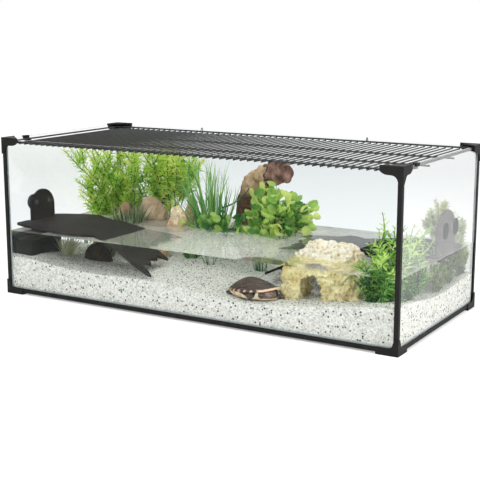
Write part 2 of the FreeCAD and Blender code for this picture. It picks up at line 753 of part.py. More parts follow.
def leafy_stem(base, tip, bow, whorls, leaf, width, stem_radius=1.8, rise=0.6, first=0.25):
    """A three-sided stem with a ring of three narrow leaves at each whorl."""
    points, facets = [], []
    step = (1 - first) / whorls
    stations = [(0.0, False)]
    for w in range(whorls):
        stations += [(first + w * step, True), (first + (w + 0.34) * step, False)]

    def at(share):
        return base + (tip - base) * share + bow * (4 * share * (1 - share))

    def along(share):
        way = at(min(share + 0.02, 1.0)) - at(max(share - 0.02, 0.0))
        way.normalize()
        return way

    starts = []
    for number, (share, _) in enumerate(stations):
        side, up = frame_along(along(share))
        radius = stem_radius * (1 - 0.5 * share)
        twist = 0.42 * (number // 2)
        ring = [at(share) + side * (radius * math.cos(2 * math.pi * k / 3 + twist))
                + up * (radius * math.sin(2 * math.pi * k / 3 + twist)) for k in range(3)]
        starts.append(len(points))
        points += ring if number else flat_foot(ring, base.z)
    for s in range(len(stations) - 1):
        low, high = starts[s], starts[s + 1]
        share, leaves = stations[s]
        for k in range(3):
            n = (k + 1) % 3
            corner = [low + k, low + n, high + n, high + k]
            if not leaves:
                facets += [(corner[0], corner[1], corner[2]), (corner[0], corner[2], corner[3])]
                continue
            way = along(share)
            root = sum((points[c] for c in corner), Vector()) * 0.25
            side = points[corner[1]] - points[corner[0]]
            side = side - way * side.dot(way)
            side.normalize()
            out = way.cross(side)
            if out.dot(root - at(share + 0.17 * step)) < 0:
                out = out * -1
            reach = leaf * (1.0 - 0.4 * share)
            waist = root + (out + way * rise) * (reach * 0.5)
            end = root + (out + way * (rise * 1.5)) * reach
            half, thin = side * (width / 2), way * 0.7
            start = len(points)
            points += [waist - half - thin, waist + half - thin, waist + half + thin, waist - half + thin, end]
            for q in range(4):
                r = (q + 1) % 4
                facets += [(corner[q], corner[r], start + r), (corner[q], start + r, start + q)]
                facets.append((start + q, start + r, start + 4))
    bottom, top = len(points), len(points) + 1
    points += [Vector(at(0.0).x, at(0.0).y, base.z), at(1.0)]
    for k in range(3):
        n = (k + 1) % 3
        facets += [(n, k, bottom), (starts[-1] + k, starts[-1] + n, top)]
    return closed_solid(points, facets)


def blade(base, tip, lift, width, thickness=1.0, steps=6):
    """A long grass blade: a flat strip that rises, then bows over to its tip."""
    flat = Vector(tip.x - base.x, tip.y - base.y, 0)
    side = Vector(-flat.y, flat.x, 0) if flat.Length > 1 else Vector(0, 1, 0)
    side.normalize()
    rings = []
    for s in range(steps):
        share = s / steps
        middle = base + (tip - base) * share + Vector(0, 0, lift) * (4 * share * (1 - share))
        ahead = (tip - base) + Vector(0, 0, lift) * (4 * (1 - 2 * share))
        ahead.normalize()
        thin = ahead.cross(side)
        thin.normalize()
        half = width / 2 * (1 - share ** 2 * 0.75)
        rings.append([middle - side * half - thin * thickness / 2, middle + side * half - thin * thickness / 2,
                      middle + side * half + thin * thickness / 2, middle - side * half + thin * thickness / 2])
    rings[0] = flat_foot(rings[0], base.z)
    return ring_solid(rings, cap_high=tip)


def stalked_leaf(base, tip, size, tilt, stalk=1.3):
    """A thin stalk that opens into a round leaf, both one closed solid."""
    way = tip - base
    way.normalize()
    out = Vector(way.x, way.y, tilt)
    out.normalize()
    side = out.cross(Vector(0, 0, 1))
    side.normalize()
    thin = side.cross(out)
    thin.normalize()
    rings = []
    for share in (0.0, 0.5, 1.0):
        middle = base + (tip - base) * share + Vector(0, 0, 6.0) * (4 * share * (1 - share))
        rings.append([middle - side * stalk, middle - thin * stalk, middle + side * stalk, middle + thin * stalk])
    rings[0] = flat_foot(rings[0], base.z)
    for reach, half in ((0.22, 0.36), (0.5, 0.5), (0.8, 0.34)):
        middle = tip + out * (size * reach) + thin * (size * 0.10 * math.sin(reach * 3))
        rings.append([middle - side * (size * half), middle - thin * 0.7,
                      middle + side * (size * half), middle + thin * 0.7])
    return ring_solid(rings, cap_high=tip + out * size)


def plant_foot(x, y, radius):
    """The weighted foot of a plant: a low cone, sunk so that its top shows."""
    middle = spot(x, y)
    top = bed_highest(middle.x, middle.y, radius, radius) + 1.0
    low = Vector(middle.x, middle.y, top - foot_disc_height)
    return Part.makeCone(radius, radius * 0.7, foot_disc_height, low), top


def feathery_plant():
    """Tall stems with whorls of fine leaves, in two bunches at the back left."""
    bunches = [
        (-396.0, 150.0, [(-456, -24, 318), (-408, 36, 334), (-350, 82, 338), (-384, 184, 312),
                         (-464, 104, 290)]),
        (-286.0, 162.0, [(-318, 108, 330), (-246, 100, 336), (-204, 152, 322), (-322, 184, 300),
                         (-252, 186, 296)]),
    ]
    solids = []
    for x, y, tips in bunches:
        foot, top = plant_foot(x, y, 24.0)
        solids.append(foot)
        for root, tip in spread(tips, x, y, 11, 9, top):
            bow = Vector((root.x - tip.x) * 0.10, (root.y - tip.y) * 0.14, 0)
            solids.append(leafy_stem(root, tip, bow, 8, 34.0, 5.0, first=0.40))
    return solids


def grass_plant():
    """A clump of long narrow blades."""
    x, y = -112.0, 84.0
    foot, top = plant_foot(x, y, 22.0)
    tips = [(-212, 150, 300), (-178, 30, 292), (-150, 165, 309), (-122, 50, 285), (-96, 152, 300),
            (-76, 92, 262), (-262, 112, 222), (-236, 60, 250), (-196, 92, 318), (-66, 132, 236),
            (-122, 150, 328)]
    solids = [foot]
    for root, tip in spread(tips, x, y, 13, 12, top):
        solids.append(blade(root, tip, 24.0, 5.0))
    return solids


def bushy(x, y, foot_radius, rows, root_reach):
    """Round leaves on stalks, in rows of (count, reach, height, leaf size, tilt)."""
    foot, top = plant_foot(x, y, foot_radius)
    middle = spot(x, y)
    solids = [foot]
    for level, (count, reach, height, size, tilt) in enumerate(rows):
        inset = root_reach * (1 - level / (len(rows) + 0.5))
        for k in range(count):
            turn = 2 * math.pi * (k + 0.37 * level) / count
            root = Vector(middle.x + inset * math.cos(turn), middle.y + inset * math.sin(turn), top)
            tip = Vector(middle.x + reach * 1.2 * math.cos(turn), middle.y + reach * 0.75 * math.sin(turn),
                         spot(0, 0, height).z)
            solids.append(stalked_leaf(root, tip, size, tilt))
    return solids


def broad_leaf_plant():
    """A low bush of round leaves on thin stalks."""
    rows = [(6, 46.0, 164.0, 36.0, 0.10), (6, 48.0, 192.0, 36.0, 0.25), (5, 34.0, 216.0, 34.0, 0.45),
            (3, 17.0, 234.0, 30.0, 0.9)]
    return bushy(70.0, 92.0, 22.0, rows, 15.0)


def low_leaf_plant():
    """Small round leaves that lie close to the water by the clump of grass."""
    return bushy(-48.0, 54.0, 14.0, [(6, 18.0, 150.0, 22.0, 0.2)], 7.0)


def tufted(x, y, foot_radius, count, reach, height, step, lift, width):
    """A tuft of thin blades, every other one or third one shorter by a step."""
    foot, top = plant_foot(x, y, foot_radius)
    middle = spot(x, y)
    solids = [foot]
    for k in range(count):
        turn = 2 * math.pi * (k + 0.4) / count
        root = Vector(middle.x + foot_radius * 0.5 * math.cos(turn),
                      middle.y + foot_radius * 0.5 * math.sin(turn), top)
        tip = Vector(middle.x + reach * math.cos(turn), middle.y + reach * math.sin(turn),
                     spot(0, 0, height).z - step * (k % 3))
        solids.append(blade(root, tip, lift, width, steps=4))
    return solids


def spiky_plant():
    """A small grey-green rosette beside the brown stone."""
    return tufted(-322.0, 27.0, 11.0, 9, 25.0, 188.0, 12.0, 14.0, 4.0)


def water_tuft():
    """A small tuft of thin blades between the filter and the dark stone."""
    return tufted(-402.0, -62.0, 12.0, 7, 20.0, 132.0, 6.0, 8.0, 3.0)


def leafy_bush(x, y, foot_radius, tips, whorls, leaf):
    """A bush of leafy stems that spread from one foot."""
    foot, top = plant_foot(x, y, foot_radius)
    solids = [foot]
    for root, tip in spread(tips, x, y, foot_radius * 0.6, foot_radius * 0.6, top):
        solids.append(leafy_stem(root, tip, Vector(0, 0, 4), whorls, leaf, 4.5, first=0.16))
    return solids


def fine_leaf_plant():
    """A bushy plant in the front right corner, in the water and above it."""
    tips = [(398, -152, 252), (462, -160, 230), (452, -80, 220), (402, -90, 206), (472, -118, 190),
            (404, -190, 164), (446, -194, 168), (394, -128, 150)]
    return leafy_bush(430.0, -132.0, 24.0, tips, 6, 19.0)


def corner_plant():
    """The plant of the back right corner, behind and over the platform."""
    tips = [(400, 184, 246), (462, 162, 244), (466, 194, 222)]
    return leafy_bush(440.0, 180.0, 14.0, tips, 7, 19.0)


def bottom_plant():
    """Short water plants on the gravel under the right platform."""
    solids = []
    for x, y in ((440.0, 104.0), (446.0, 34.0)):
        tips = [(x + 24 * math.cos(turn), y + 24 * math.sin(turn), 122.0) for turn in (0.4, 2.5, 4.6)]
        solids += leafy_bush(x, y, 13.0, tips, 3, 18.0)
    return solids


# Turtle

def turtle():
    """A domed shell with a flared rim over a flat belly, with head and feet tucked in."""
    a, b, h = turtle_length / 2, turtle_width / 2, turtle_height
    sides = 22
    levels = [(0.00, 0.62), (0.10, 0.80), (0.22, 0.96), (0.30, 1.00), (0.40, 0.96), (0.58, 0.82),
              (0.76, 0.62), (0.90, 0.38)]
    rings = []
    for share, wide in levels:
        ring = []
        for k in range(sides):
            turn = 2 * math.pi * k / sides
            egg = 1 + 0.06 * math.cos(turn)
            ring.append(Vector(a * wide * egg * math.cos(turn), b * wide * egg * math.sin(turn), h * share))
        rings.append(ring)
    body = ring_solid(rings, cap_high=Vector(-a * 0.08, 0, h))
    limbs = [(0.92, -0.12, 0.20, 14, 10, 8.5), (0.62, -0.74, 0.11, 15, 10, 5.5),
             (0.62, 0.74, 0.11, 15, 10, 5.5), (-0.70, 0.66, 0.11, 14, 9, 5.5), (-0.70, -0.66, 0.11, 14, 9, 5.5)]
    for u, v, w, la, lb, lc in limbs:
        ball = []
        for level in range(1, 6):
            tilt = -math.pi / 2 + math.pi * level / 6
            ball.append([Vector(a * u + la * math.cos(tilt) * math.cos(2 * math.pi * k / 10),
                                b * v + lb * math.cos(tilt) * math.sin(2 * math.pi * k / 10),
                                h * w + lc * math.sin(tilt)) for k in range(10)])
        low = Vector(a * u, b * v, max(h * w - lc, 0.0))
        limb = ring_solid(ball, cap_low=low, cap_high=Vector(a * u, b * v, h * w + lc))
        body = body.fuse(limb)
    body = body.removeSplitter()
    body.rotate(Vector(0, 0, 0), Vector(0, 0, 1), turtle_heading)
    middle = spot(turtle_x, turtle_y)
    lift = bed_highest(middle.x, middle.y, a * 0.5, b * 0.5) - turtle_sunk
    body.translate(Vector(middle.x, middle.y, lift - body.BoundBox.ZMin))
    return body


# Filter

filter_front = -inner_y + filter_from_front


def filter_seat():
    """Level on which the filter stands, sunk a little into the gravel."""
    middle_x = -inner_x + filter_width / 2
    middle_y = filter_front + filter_length / 2
    return bed_lowest(middle_x, middle_y, filter_width / 2, filter_length / 2) - filter_sunk


def filter_housing():
    """A long low box by the left wall with rounded upright edges and a spout."""
    x0 = -inner_x + seat_gap
    x1 = x0 + filter_width - cover_thickness
    y0, y1 = filter_front, filter_front + filter_length
    low = filter_seat()
    box = block(x0, y0, low, x1, y1, low + filter_height)
    upright = [e for e in box.Edges if abs(e.Vertexes[0].Z - e.Vertexes[-1].Z) > 1]
    box = box.makeFillet(filter_corner, upright)
    spout = Part.makeCylinder(filter_width * 0.16, 16.0,
                              Vector((x0 + x1) / 2, y1 - 2, low + filter_height * 0.72), Vector(0, 1, 0))
    groove = block(x0 - 1, y0 - 1, low + filter_height * 0.8, x1 + 1, y0 + 0.8, low + filter_height * 0.8 + 1.2)
    return box.fuse(spout).cut(groove).removeSplitter()


def filter_cover():
    """A slotted intake cover on the side of the filter."""
    x0 = -inner_x + seat_gap + filter_width - cover_thickness
    y0, y1 = filter_front + filter_corner * 2, filter_front + filter_length - filter_corner * 2
    low = filter_seat() + filter_height * 0.32
    high = filter_seat() + filter_height * 0.9
    plate = block(x0, y0, low, x0 + cover_thickness, y1, high)
    count = int((y1 - y0 - cover_slot_pitch) / cover_slot_pitch)
    start = (y0 + y1) / 2 - (count - 1) * cover_slot_pitch / 2
    slots = [block(x0 - 1, start + k * cover_slot_pitch - cover_slot_width / 2, low + 6,
                   x0 + cover_thickness + 1, start + k * cover_slot_pitch + cover_slot_width / 2, high - 6)
             for k in range(count)]
    return plate.cut(slots)


def main():
    os.makedirs("parts", exist_ok=True)
    save(block(-glass_x, -glass_y, base_bottom, glass_x, glass_y, base_top), "base_pane")
    save(wall_lengthwise(-1), "front_pane")
    save(wall_lengthwise(1), "back_pane")
    save(wall_crosswise(-1), "left_pane")
    save(wall_crosswise(1), "right_pane")
    seal = silicone_seal()
    save(seal, "silicone_seal")
    guard, cap, foot = edge_guard(), top_cap(), corner_foot()
    for end, side_x in (("left", -1), ("right", 1)):
        for row, side_y in (("front", -1), ("back", 1)):
            corner = row + "_" + end
            save(mirrored(guard, side_x, side_y), "edge_guard_" + corner)
            save(mirrored(cap, side_x, side_y), "top_cap_" + corner)
            save(mirrored(foot, side_x, side_y), "foot_" + corner)
    save(base_trim(True, -1), "base_trim_front")
    save(base_trim(True, 1), "base_trim_back")
    save(base_trim(False, -1), "base_trim_left")
    save(base_trim(False, 1), "base_trim_right")
    save(lid_frame(), "lid_frame")
    save(lid_bars(), "lid_bars")
    save(lid_cross_rods(), "lid_cross_rods")
    save(lid_hook(-hook_offset), "lid_hook_left")
    save(lid_hook(hook_offset), "lid_hook_right")
    clip = lid_clip()
    save(clip, "lid_clip_right")
    save(mirrored(clip, -1, 1), "lid_clip_left")
    sunk = [seal]
    for name, place, side in (("left", left_platform, -1), ("right", right_platform, 1)):
        board = on_wall(platform_sheet(place), place, side)
        sunk.append(board)
        save(board, "platform_" + name)
        save(on_wall(platform_bracket(place), place, side), "platform_bracket_" + name)
        save(on_wall(suction_cups(place), place, side), "suction_cups_" + name)
    stones = {name: rock(rocks[name]) for name in rocks}
    stones.update({"cave_rock": cave(), "driftwood": driftwood(), "turtle": turtle(),
                   "filter_housing": filter_housing(), "filter_cover": filter_cover()})
    for name, shape in stones.items():
        sunk.append(shape)
        save(shape, name)
    plants = {"feathery_plant": feathery_plant, "grass_plant": grass_plant,
              "broad_leaf_plant": broad_leaf_plant, "low_leaf_plant": low_leaf_plant,
              "spiky_plant": spiky_plant, "fine_leaf_plant": fine_leaf_plant,
              "corner_plant": corner_plant, "bottom_plant": bottom_plant, "water_tuft": water_tuft}
    for name, grow in plants.items():
        solids = grow()
        sunk += [hollow(solid) for solid in solids if len(solid.Faces) == 3]
        save(Part.makeCompound(solids), name)
    save(gravel_bed(sunk), "gravel_bed")


main()
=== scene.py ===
# %% [markdown]
# # A turtle tank, dressed for its portrait
#
# The CAD frame holds the glass box, its black fittings, the wire lid, the platforms and a plain version of
# everything that stands in the tank. This script keeps the rigid pieces as they are, gives every surface a
# material, and puts finer stones, plants and a finer turtle over the plain ones.
#
# The noise of mathutils starts from the clock unless it gets a seed, so it gets one here. Every other chance
# number in this script comes from a seeded generator as well, and each run gives the same tank.

# %% Load the CAD frame
import math
import random

import bpy
from mathutils import Matrix, Vector, noise


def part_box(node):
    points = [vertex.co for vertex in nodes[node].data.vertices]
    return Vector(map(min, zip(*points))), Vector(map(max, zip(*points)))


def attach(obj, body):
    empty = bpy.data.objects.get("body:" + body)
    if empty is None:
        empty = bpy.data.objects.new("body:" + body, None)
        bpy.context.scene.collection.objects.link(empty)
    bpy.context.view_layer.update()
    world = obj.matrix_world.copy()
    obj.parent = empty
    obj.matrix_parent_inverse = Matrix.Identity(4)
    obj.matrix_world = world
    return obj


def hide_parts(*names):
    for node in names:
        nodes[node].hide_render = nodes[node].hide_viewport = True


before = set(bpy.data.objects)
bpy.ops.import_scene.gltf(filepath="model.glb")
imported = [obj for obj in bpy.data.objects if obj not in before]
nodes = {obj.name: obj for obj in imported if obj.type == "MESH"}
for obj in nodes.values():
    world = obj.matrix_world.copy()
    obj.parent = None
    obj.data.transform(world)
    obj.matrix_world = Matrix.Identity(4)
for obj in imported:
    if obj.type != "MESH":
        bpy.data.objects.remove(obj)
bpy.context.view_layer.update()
noise_seed = 9
noise.seed_set(noise_seed)
print("CAD nodes:", len(nodes))

# %% [markdown]
# ## Sizes
#
# Sizes are in metres. Wherever a piece has to fit the frame, its size is read from the CAD nodes: the inside of
# the glass, the level of the gravel and the underside of the lid. Only the water level is a number of its own.
# It was read off the glass in the photograph, because the water is no solid in the CAD model.

# %% Sizes from the frame
water_level = 0.150


def low_high(name):
    """The two corners of a CAD node's box."""
    low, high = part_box(name)
    return Vector(low), Vector(high)


inner_low = Vector((low_high("left_pane")[1].x, low_high("front_pane")[1].y, low_high("base_pane")[1].z))
inner_high = Vector((low_high("right_pane")[0].x, low_high("back_pane")[0].y, low_high("back_pane")[1].z))
lid_under = low_high("lid_cross_rods")[0].z
gravel_low, gravel_high = low_high("gravel_bed")
print("inside of the glass:", [round(side, 4) for side in inner_high - inner_low], "lid from", round(lid_under, 4))

# %% [markdown]
# ## Helpers for shader nodes
#
# A material is a graph of nodes. Written out link by link each graph would fill a page, so a few helpers add a
# node, connect it and hand back its output. Patterns read Object coordinates. Every piece in this file keeps its
# origin at the middle of the tank's foot, so these are simply metres in the tank, and a pattern never slides.

# %% Materials, nodes and links


def new_material(name, color, roughness, **sockets):
    """A Principled material with plain values on its sockets."""
    material = bpy.data.materials.new(name)
    material.use_nodes = True
    shader = material.node_tree.nodes["Principled BSDF"]
    shader.inputs["Base Color"].default_value = (*color, 1.0)
    shader.inputs["Roughness"].default_value = roughness
    for socket, value in sockets.items():
        shader.inputs[socket.replace("_", " ")].default_value = value
    return material


def parts_of(material):
    """A material's node tree and its Principled shader."""
    return material.node_tree, material.node_tree.nodes["Principled BSDF"]


def add_node(tree, kind, **values):
    """A node with some of its properties set."""
    node = tree.nodes.new(kind)
    for key, value in values.items():
        setattr(node, key, value)
    return node


def feed(tree, socket, value):
    """Link an output to a socket, or set the socket to a plain number or colour."""
    if isinstance(value, tuple):
        socket.default_value = (*value, 1.0)
    elif isinstance(value, (int, float)):
        socket.default_value = value
    else:
        tree.links.new(value, socket)


def calculate(tree, operation, *values):
    """The result of a Math node on outputs or plain numbers."""
    node = add_node(tree, "ShaderNodeMath", operation=operation)
    for socket, value in zip(node.inputs, values):
        feed(tree, socket, value)
    return node.outputs[0]

# %% [markdown]
# ## Shares and colours
#
# Nearly every look in this file comes down to two questions: how much of something shows at a place, and which
# colours it mixes there. A Map Range node turns any number into such a share, and a ramp turns it into a colour.

# %% Shares, mixes and ramps


def share_between(tree, value, start, end, low=0.0, high=1.0):
    """A number that goes from low to high as a value goes from start to end."""
    node = add_node(tree, "ShaderNodeMapRange")
    for label, number in (("From Min", start), ("From Max", end), ("To Min", low), ("To Max", high)):
        node.inputs[label].default_value = number
    tree.links.new(value, node.inputs["Value"])
    return node.outputs[0]


def mix_color(tree, share, first, second):
    """A colour mix of two outputs or plain colours."""
    mix = add_node(tree, "ShaderNodeMix", data_type="RGBA")
    tree.links.new(share, mix.inputs["Factor"])
    feed(tree, mix.inputs[6], first)
    feed(tree, mix.inputs[7], second)
    return mix.outputs[2]


def ramp(tree, value, stops):
    """A colour ramp through (place, colour) stops."""
    node = add_node(tree, "ShaderNodeValToRGB")
    elements = node.color_ramp.elements
    while len(elements) < len(stops):
        elements.new(0.5)
    for element, (place, color) in zip(elements, stops):
        element.position = place
        element.color = (*color, 1.0)
    tree.links.new(value, node.inputs[0])
    return node.outputs["Color"]

# %% [markdown]
# ## Helpers for patterns and for mixing shaders
#
# Most finishes here are a noise cloud that picks a colour, and the same cloud as relief. Bump only bends the
# light, so it serves for grain far finer than the mesh, and larger lumps are real shape further down.

# %% Patterns, relief and mixed shaders


def object_place(tree):
    """Object coordinates, in metres."""
    return add_node(tree, "ShaderNodeTexCoord").outputs["Object"]


def object_sides(tree):
    """X, Y and Z of the object coordinates, apart."""
    sides = add_node(tree, "ShaderNodeSeparateXYZ")
    tree.links.new(object_place(tree), sides.inputs[0])
    return sides.outputs


def cloud(tree, scale, detail, place=None):
    """A soft noise on object coordinates, or on another place if one is given."""
    node = add_node(tree, "ShaderNodeTexNoise")
    tree.links.new(object_place(tree) if place is None else place, node.inputs["Vector"])
    feed(tree, node.inputs["Scale"], scale)
    feed(tree, node.inputs["Detail"], detail)
    return node.outputs["Fac"]


def attribute(tree, name):
    """A number that the mesh carries on its points."""
    return add_node(tree, "ShaderNodeAttribute", attribute_name=name).outputs["Fac"]


def add_relief(tree, height, strength, depth, invert=False):
    """A Bump node that feeds the Principled shader's normal."""
    bump = add_node(tree, "ShaderNodeBump", invert=invert)
    bump.inputs["Strength"].default_value = strength
    bump.inputs["Distance"].default_value = depth
    tree.links.new(height, bump.inputs["Height"])
    tree.links.new(bump.outputs["Normal"], tree.nodes["Principled BSDF"].inputs["Normal"])


def plain_shader(tree, kind, **values):
    """A simple shader, such as Transparent or Diffuse."""
    node = tree.nodes.new(kind)
    for label, value in values.items():
        feed(tree, node.inputs[label], value)
    return node.outputs[0]


def blend_shaders(tree, share, first, second):
    """Two shaders, mixed by a share."""
    mix = add_node(tree, "ShaderNodeMixShader")
    feed(tree, mix.inputs[0], share)
    tree.links.new(first, mix.inputs[1])
    tree.links.new(second, mix.inputs[2])
    return mix.outputs[0]


def new_group(name, inputs, outputs):
    """An empty shader group with named sockets: (name, kind, default)."""
    group = bpy.data.node_groups.new(name, "ShaderNodeTree")
    for label, kind, value in inputs:
        socket = group.interface.new_socket(label, in_out="INPUT", socket_type=kind)
        socket.default_value = value
    for label, kind in outputs:
        group.interface.new_socket(label, in_out="OUTPUT", socket_type=kind)
    return group, group.nodes.new("NodeGroupInput"), group.nodes.new("NodeGroupOutput")

# %% [markdown]
# ## A mottled surface, shared by stone, plastic and skin
#
# Stone, moulded plastic and a turtle's skin all have soft patches of two tones, and a third colour in the
# hollows of their fine relief: painted shade where it is dark, and painted highlights where it is pale. That is
# one effect, so it is one node group, and each material places it with its own scale and colours. It puts out a
# colour and a height and leaves the shader itself to the material.

# %% The mottle group


def mottle_group():
    """Two colours in soft patches, a third painted into the hollows of the relief as painted shade (dark) and painted
    highlight (pale), and the relief.
    """
    group, start, end = new_group(
        "mottle",
        [("Scale", "NodeSocketFloat", 40.0), ("Low", "NodeSocketColor", (0.3, 0.2, 0.1, 1)),
         ("High", "NodeSocketColor", (0.8, 0.7, 0.6, 1)), ("Pit Shade And Highlight", "NodeSocketColor", (0.1, 0.08, 0.06, 1)),
         ("Pit Share", "NodeSocketFloat", 0.35)],
        [("Color", "NodeSocketColor"), ("Height", "NodeSocketFloat")])
    given = start.outputs
    patches = cloud(group, given["Scale"], 6.0)
    grain = cloud(group, calculate(group, "MULTIPLY", given["Scale"], 7.0), 3.0)
    base = mix_color(group, share_between(group, patches, 0.32, 0.68), given["Low"], given["High"])
    # The pit colour is painted into the hollows of the fine relief: painted shade when dark, painted highlight when
    # pale.
    pit_shade_and_highlight = calculate(group, "MULTIPLY", share_between(group, grain, 0.42, 0.30), given["Pit Share"])
    group.links.new(mix_color(group, pit_shade_and_highlight, base, given["Pit Shade And Highlight"]), end.inputs["Color"])
    group.links.new(calculate(group, "MULTIPLY_ADD", grain, 0.5, patches), end.inputs["Height"])
    return group


mottle = mottle_group()
print("group", mottle.name, "with", len(mottle.nodes), "nodes")

# %% [markdown]
# ## Stone that stands in water
#
# A stone in a tank looks pale and dusty where it is dry, and darker and yellower where it is wet. Two mottled
# layers meet at the water level, a wide noise adds a few blotches, and the pores that are cut into the mesh
# further down carry a number that darkens them here: painted shade in the pores.

# %% The stone group


def stone_group():
    """Mottled stone whose foot, below the water level, is yellower and darker."""
    group, start, end = new_group(
        "stone",
        [("Scale", "NodeSocketFloat", 40.0), ("Dry Low", "NodeSocketColor", (0.5, 0.4, 0.3, 1)),
         ("Dry High", "NodeSocketColor", (0.8, 0.7, 0.6, 1)), ("Wet Low", "NodeSocketColor", (0.3, 0.2, 0.1, 1)),
         ("Wet High", "NodeSocketColor", (0.6, 0.5, 0.3, 1)), ("Pit Shade And Highlight", "NodeSocketColor", (0.1, 0.08, 0.06, 1)),
         ("Pit Share", "NodeSocketFloat", 0.5), ("Patch", "NodeSocketColor", (0.6, 0.4, 0.3, 1)),
         ("Water Level", "NodeSocketFloat", water_level)],
        [("Color", "NodeSocketColor"), ("Height", "NodeSocketFloat")])
    given = start.outputs
    above = calculate(group, "SUBTRACT", object_sides(group)["Z"], given["Water Level"])
    layers = []
    for low, high in (("Wet Low", "Wet High"), ("Dry Low", "Dry High")):
        layer = add_node(group, "ShaderNodeGroup", node_tree=mottle)
        for label, source in (("Scale", "Scale"), ("Low", low), ("High", high), ("Pit Shade And Highlight", "Pit Shade And Highlight"),
                              ("Pit Share", "Pit Share")):
            group.links.new(given[source], layer.inputs[label])
        layers.append(layer.outputs)
    dry = share_between(group, above, -0.001, 0.005)
    base = mix_color(group, dry, layers[0]["Color"], layers[1]["Color"])
    wide = cloud(group, calculate(group, "MULTIPLY", given["Scale"], 0.45), 2.0)
    blotched = mix_color(group, share_between(group, wide, 0.56, 0.70, high=0.7), base, given["Patch"])
    # Painted shade: the pore number mixes the pit colour into the pores.
    pitted = mix_color(group, attribute(group, "pore"), blotched, given["Pit Shade And Highlight"])
    group.links.new(pitted, end.inputs["Color"])
    group.links.new(layers[0]["Height"], end.inputs["Height"])
    return group


def use_group(material, group, values, relief_strength, relief_depth):
    """Put a pattern group into a material: its colour, and its height as relief."""
    tree, shader = parts_of(material)
    node = add_node(tree, "ShaderNodeGroup", node_tree=group)
    for label, value in values.items():
        feed(tree, node.inputs[label], value)
    tree.links.new(node.outputs["Color"], shader.inputs["Base Color"])
    add_relief(tree, node.outputs["Height"], relief_strength, relief_depth)
    return material


stone = stone_group()
print("group", stone.name, "with", len(stone.nodes), "nodes")

# %% [markdown]
# ## Five kinds of stone
#
# The tank holds a cream, porous cave stone, a brown one, tan ones, a pink one and a dark one. They share the
# stone group, and differ in scale, in their colours when dry and when wet, and in how deep their relief is.

# %% Stone materials


def rock(name, scale, dry, wet, pit_shade_and_highlight, pit_share, patch, strength=0.7, depth=0.003, roughness=0.85):
    """A rough stone from its low and high colours, dry and wet, the colour of the painted shade in its pores and
    hollows, and the colour of its blotches.
    """
    values = {"Scale": scale, "Dry Low": dry[0], "Dry High": dry[1], "Wet Low": wet[0], "Wet High": wet[1],
              "Pit Shade And Highlight": pit_shade_and_highlight, "Pit Share": pit_share, "Patch": patch}
    return use_group(new_material(name, dry[1], roughness, Specular_IOR_Level=0.3), stone, values, strength, depth)


cream_stone = rock("cream_stone", 40.0, ((0.86, 0.76, 0.54), (0.96, 0.94, 0.82)),
                   ((0.64, 0.52, 0.22), (0.94, 0.88, 0.54)), (0.44, 0.28, 0.14), 0.7, (0.72, 0.46, 0.30),
                   strength=0.9, depth=0.004, roughness=0.9)
brown_stone = rock("brown_stone", 24.0, ((0.36, 0.25, 0.15), (0.62, 0.48, 0.33)),
                   ((0.16, 0.10, 0.05), (0.34, 0.23, 0.13)), (0.10, 0.055, 0.03), 0.5, (0.42, 0.22, 0.14))
tan_stone = rock("tan_stone", 40.0, ((0.72, 0.52, 0.29), (0.93, 0.82, 0.60)),
                 ((0.32, 0.18, 0.08), (0.56, 0.40, 0.22)), (0.24, 0.12, 0.05), 0.85, (0.60, 0.34, 0.20),
                 strength=0.8)
pink_stone = rock("pink_stone", 36.0, ((0.38, 0.22, 0.14), (0.66, 0.46, 0.33)),
                  ((0.18, 0.10, 0.06), (0.36, 0.24, 0.15)), (0.14, 0.07, 0.04), 0.6, (0.46, 0.20, 0.14))
dark_stone = rock("dark_stone", 30.0, ((0.05, 0.035, 0.016), (0.12, 0.085, 0.04)),
                  ((0.015, 0.011, 0.005), (0.06, 0.044, 0.020)), (0.02, 0.014, 0.01), 0.5, (0.10, 0.07, 0.03))
print("stones:", [material.name for material in (cream_stone, brown_stone, tan_stone, pink_stone, dark_stone)])

# %% [markdown]
# ## Glass and water
#
# Real glass bends the lamps' light into bright spots that take very long to render cleanly. So light on its way
# to a surface passes straight through, and only what the camera looks through is bent. A dry pane mirrors the
# white room, but where water stands behind it that mirror almost goes, and so does the water's own where it
# touches glass. The still top of the water carries a painted sheen near the left end: a pale diffuse layer that
# lightens it there.

# %% Clear materials
sheen_start, sheen_end = 0.10, 0.24
sheen_color = (0.86, 0.86, 0.76)


def see_through(name, color, index, tint, sheen=0.0, wet_index=0.0, mirror=1.0):
    """Clear glass or water: light of the lamps and of soft bounces passes straight on. If asked, it has a painted
    sheen, a pale diffuse layer, or bends light by another index below the water level, or mirrors less where it
    is seen head-on."""
    material = new_material(name, color, 0.0, Transmission_Weight=1.0, IOR=index,
                            Specular_Tint=(mirror, mirror, mirror, 1.0))
    tree, shader = parts_of(material)
    surface = shader.outputs[0]
    # Painted sheen: a pale diffuse layer mixed into the surface, most near the left end.
    if sheen:
        near = share_between(tree, object_sides(tree)["X"], sheen_end, sheen_start)
        painted_sheen = plain_shader(tree, "ShaderNodeBsdfDiffuse", Color=sheen_color)
        surface = blend_shaders(tree, calculate(tree, "MULTIPLY", near, sheen), surface, painted_sheen)
    if wet_index:
        under = share_between(tree, object_sides(tree)["Z"], water_level + 0.001, water_level)
        wet = plain_shader(tree, "ShaderNodeBsdfGlass", Color=color, Roughness=0.0, IOR=wet_index)
        surface = blend_shaders(tree, under, surface, wet)
    path = add_node(tree, "ShaderNodeLightPath").outputs
    straight = calculate(tree, "MAXIMUM", path["Is Shadow Ray"], path["Is Diffuse Ray"])
    clear = plain_shader(tree, "ShaderNodeBsdfTransparent", Color=tint)
    surface = blend_shaders(tree, straight, surface, clear)
    tree.links.new(surface, tree.nodes["Material Output"].inputs["Surface"])
    return material


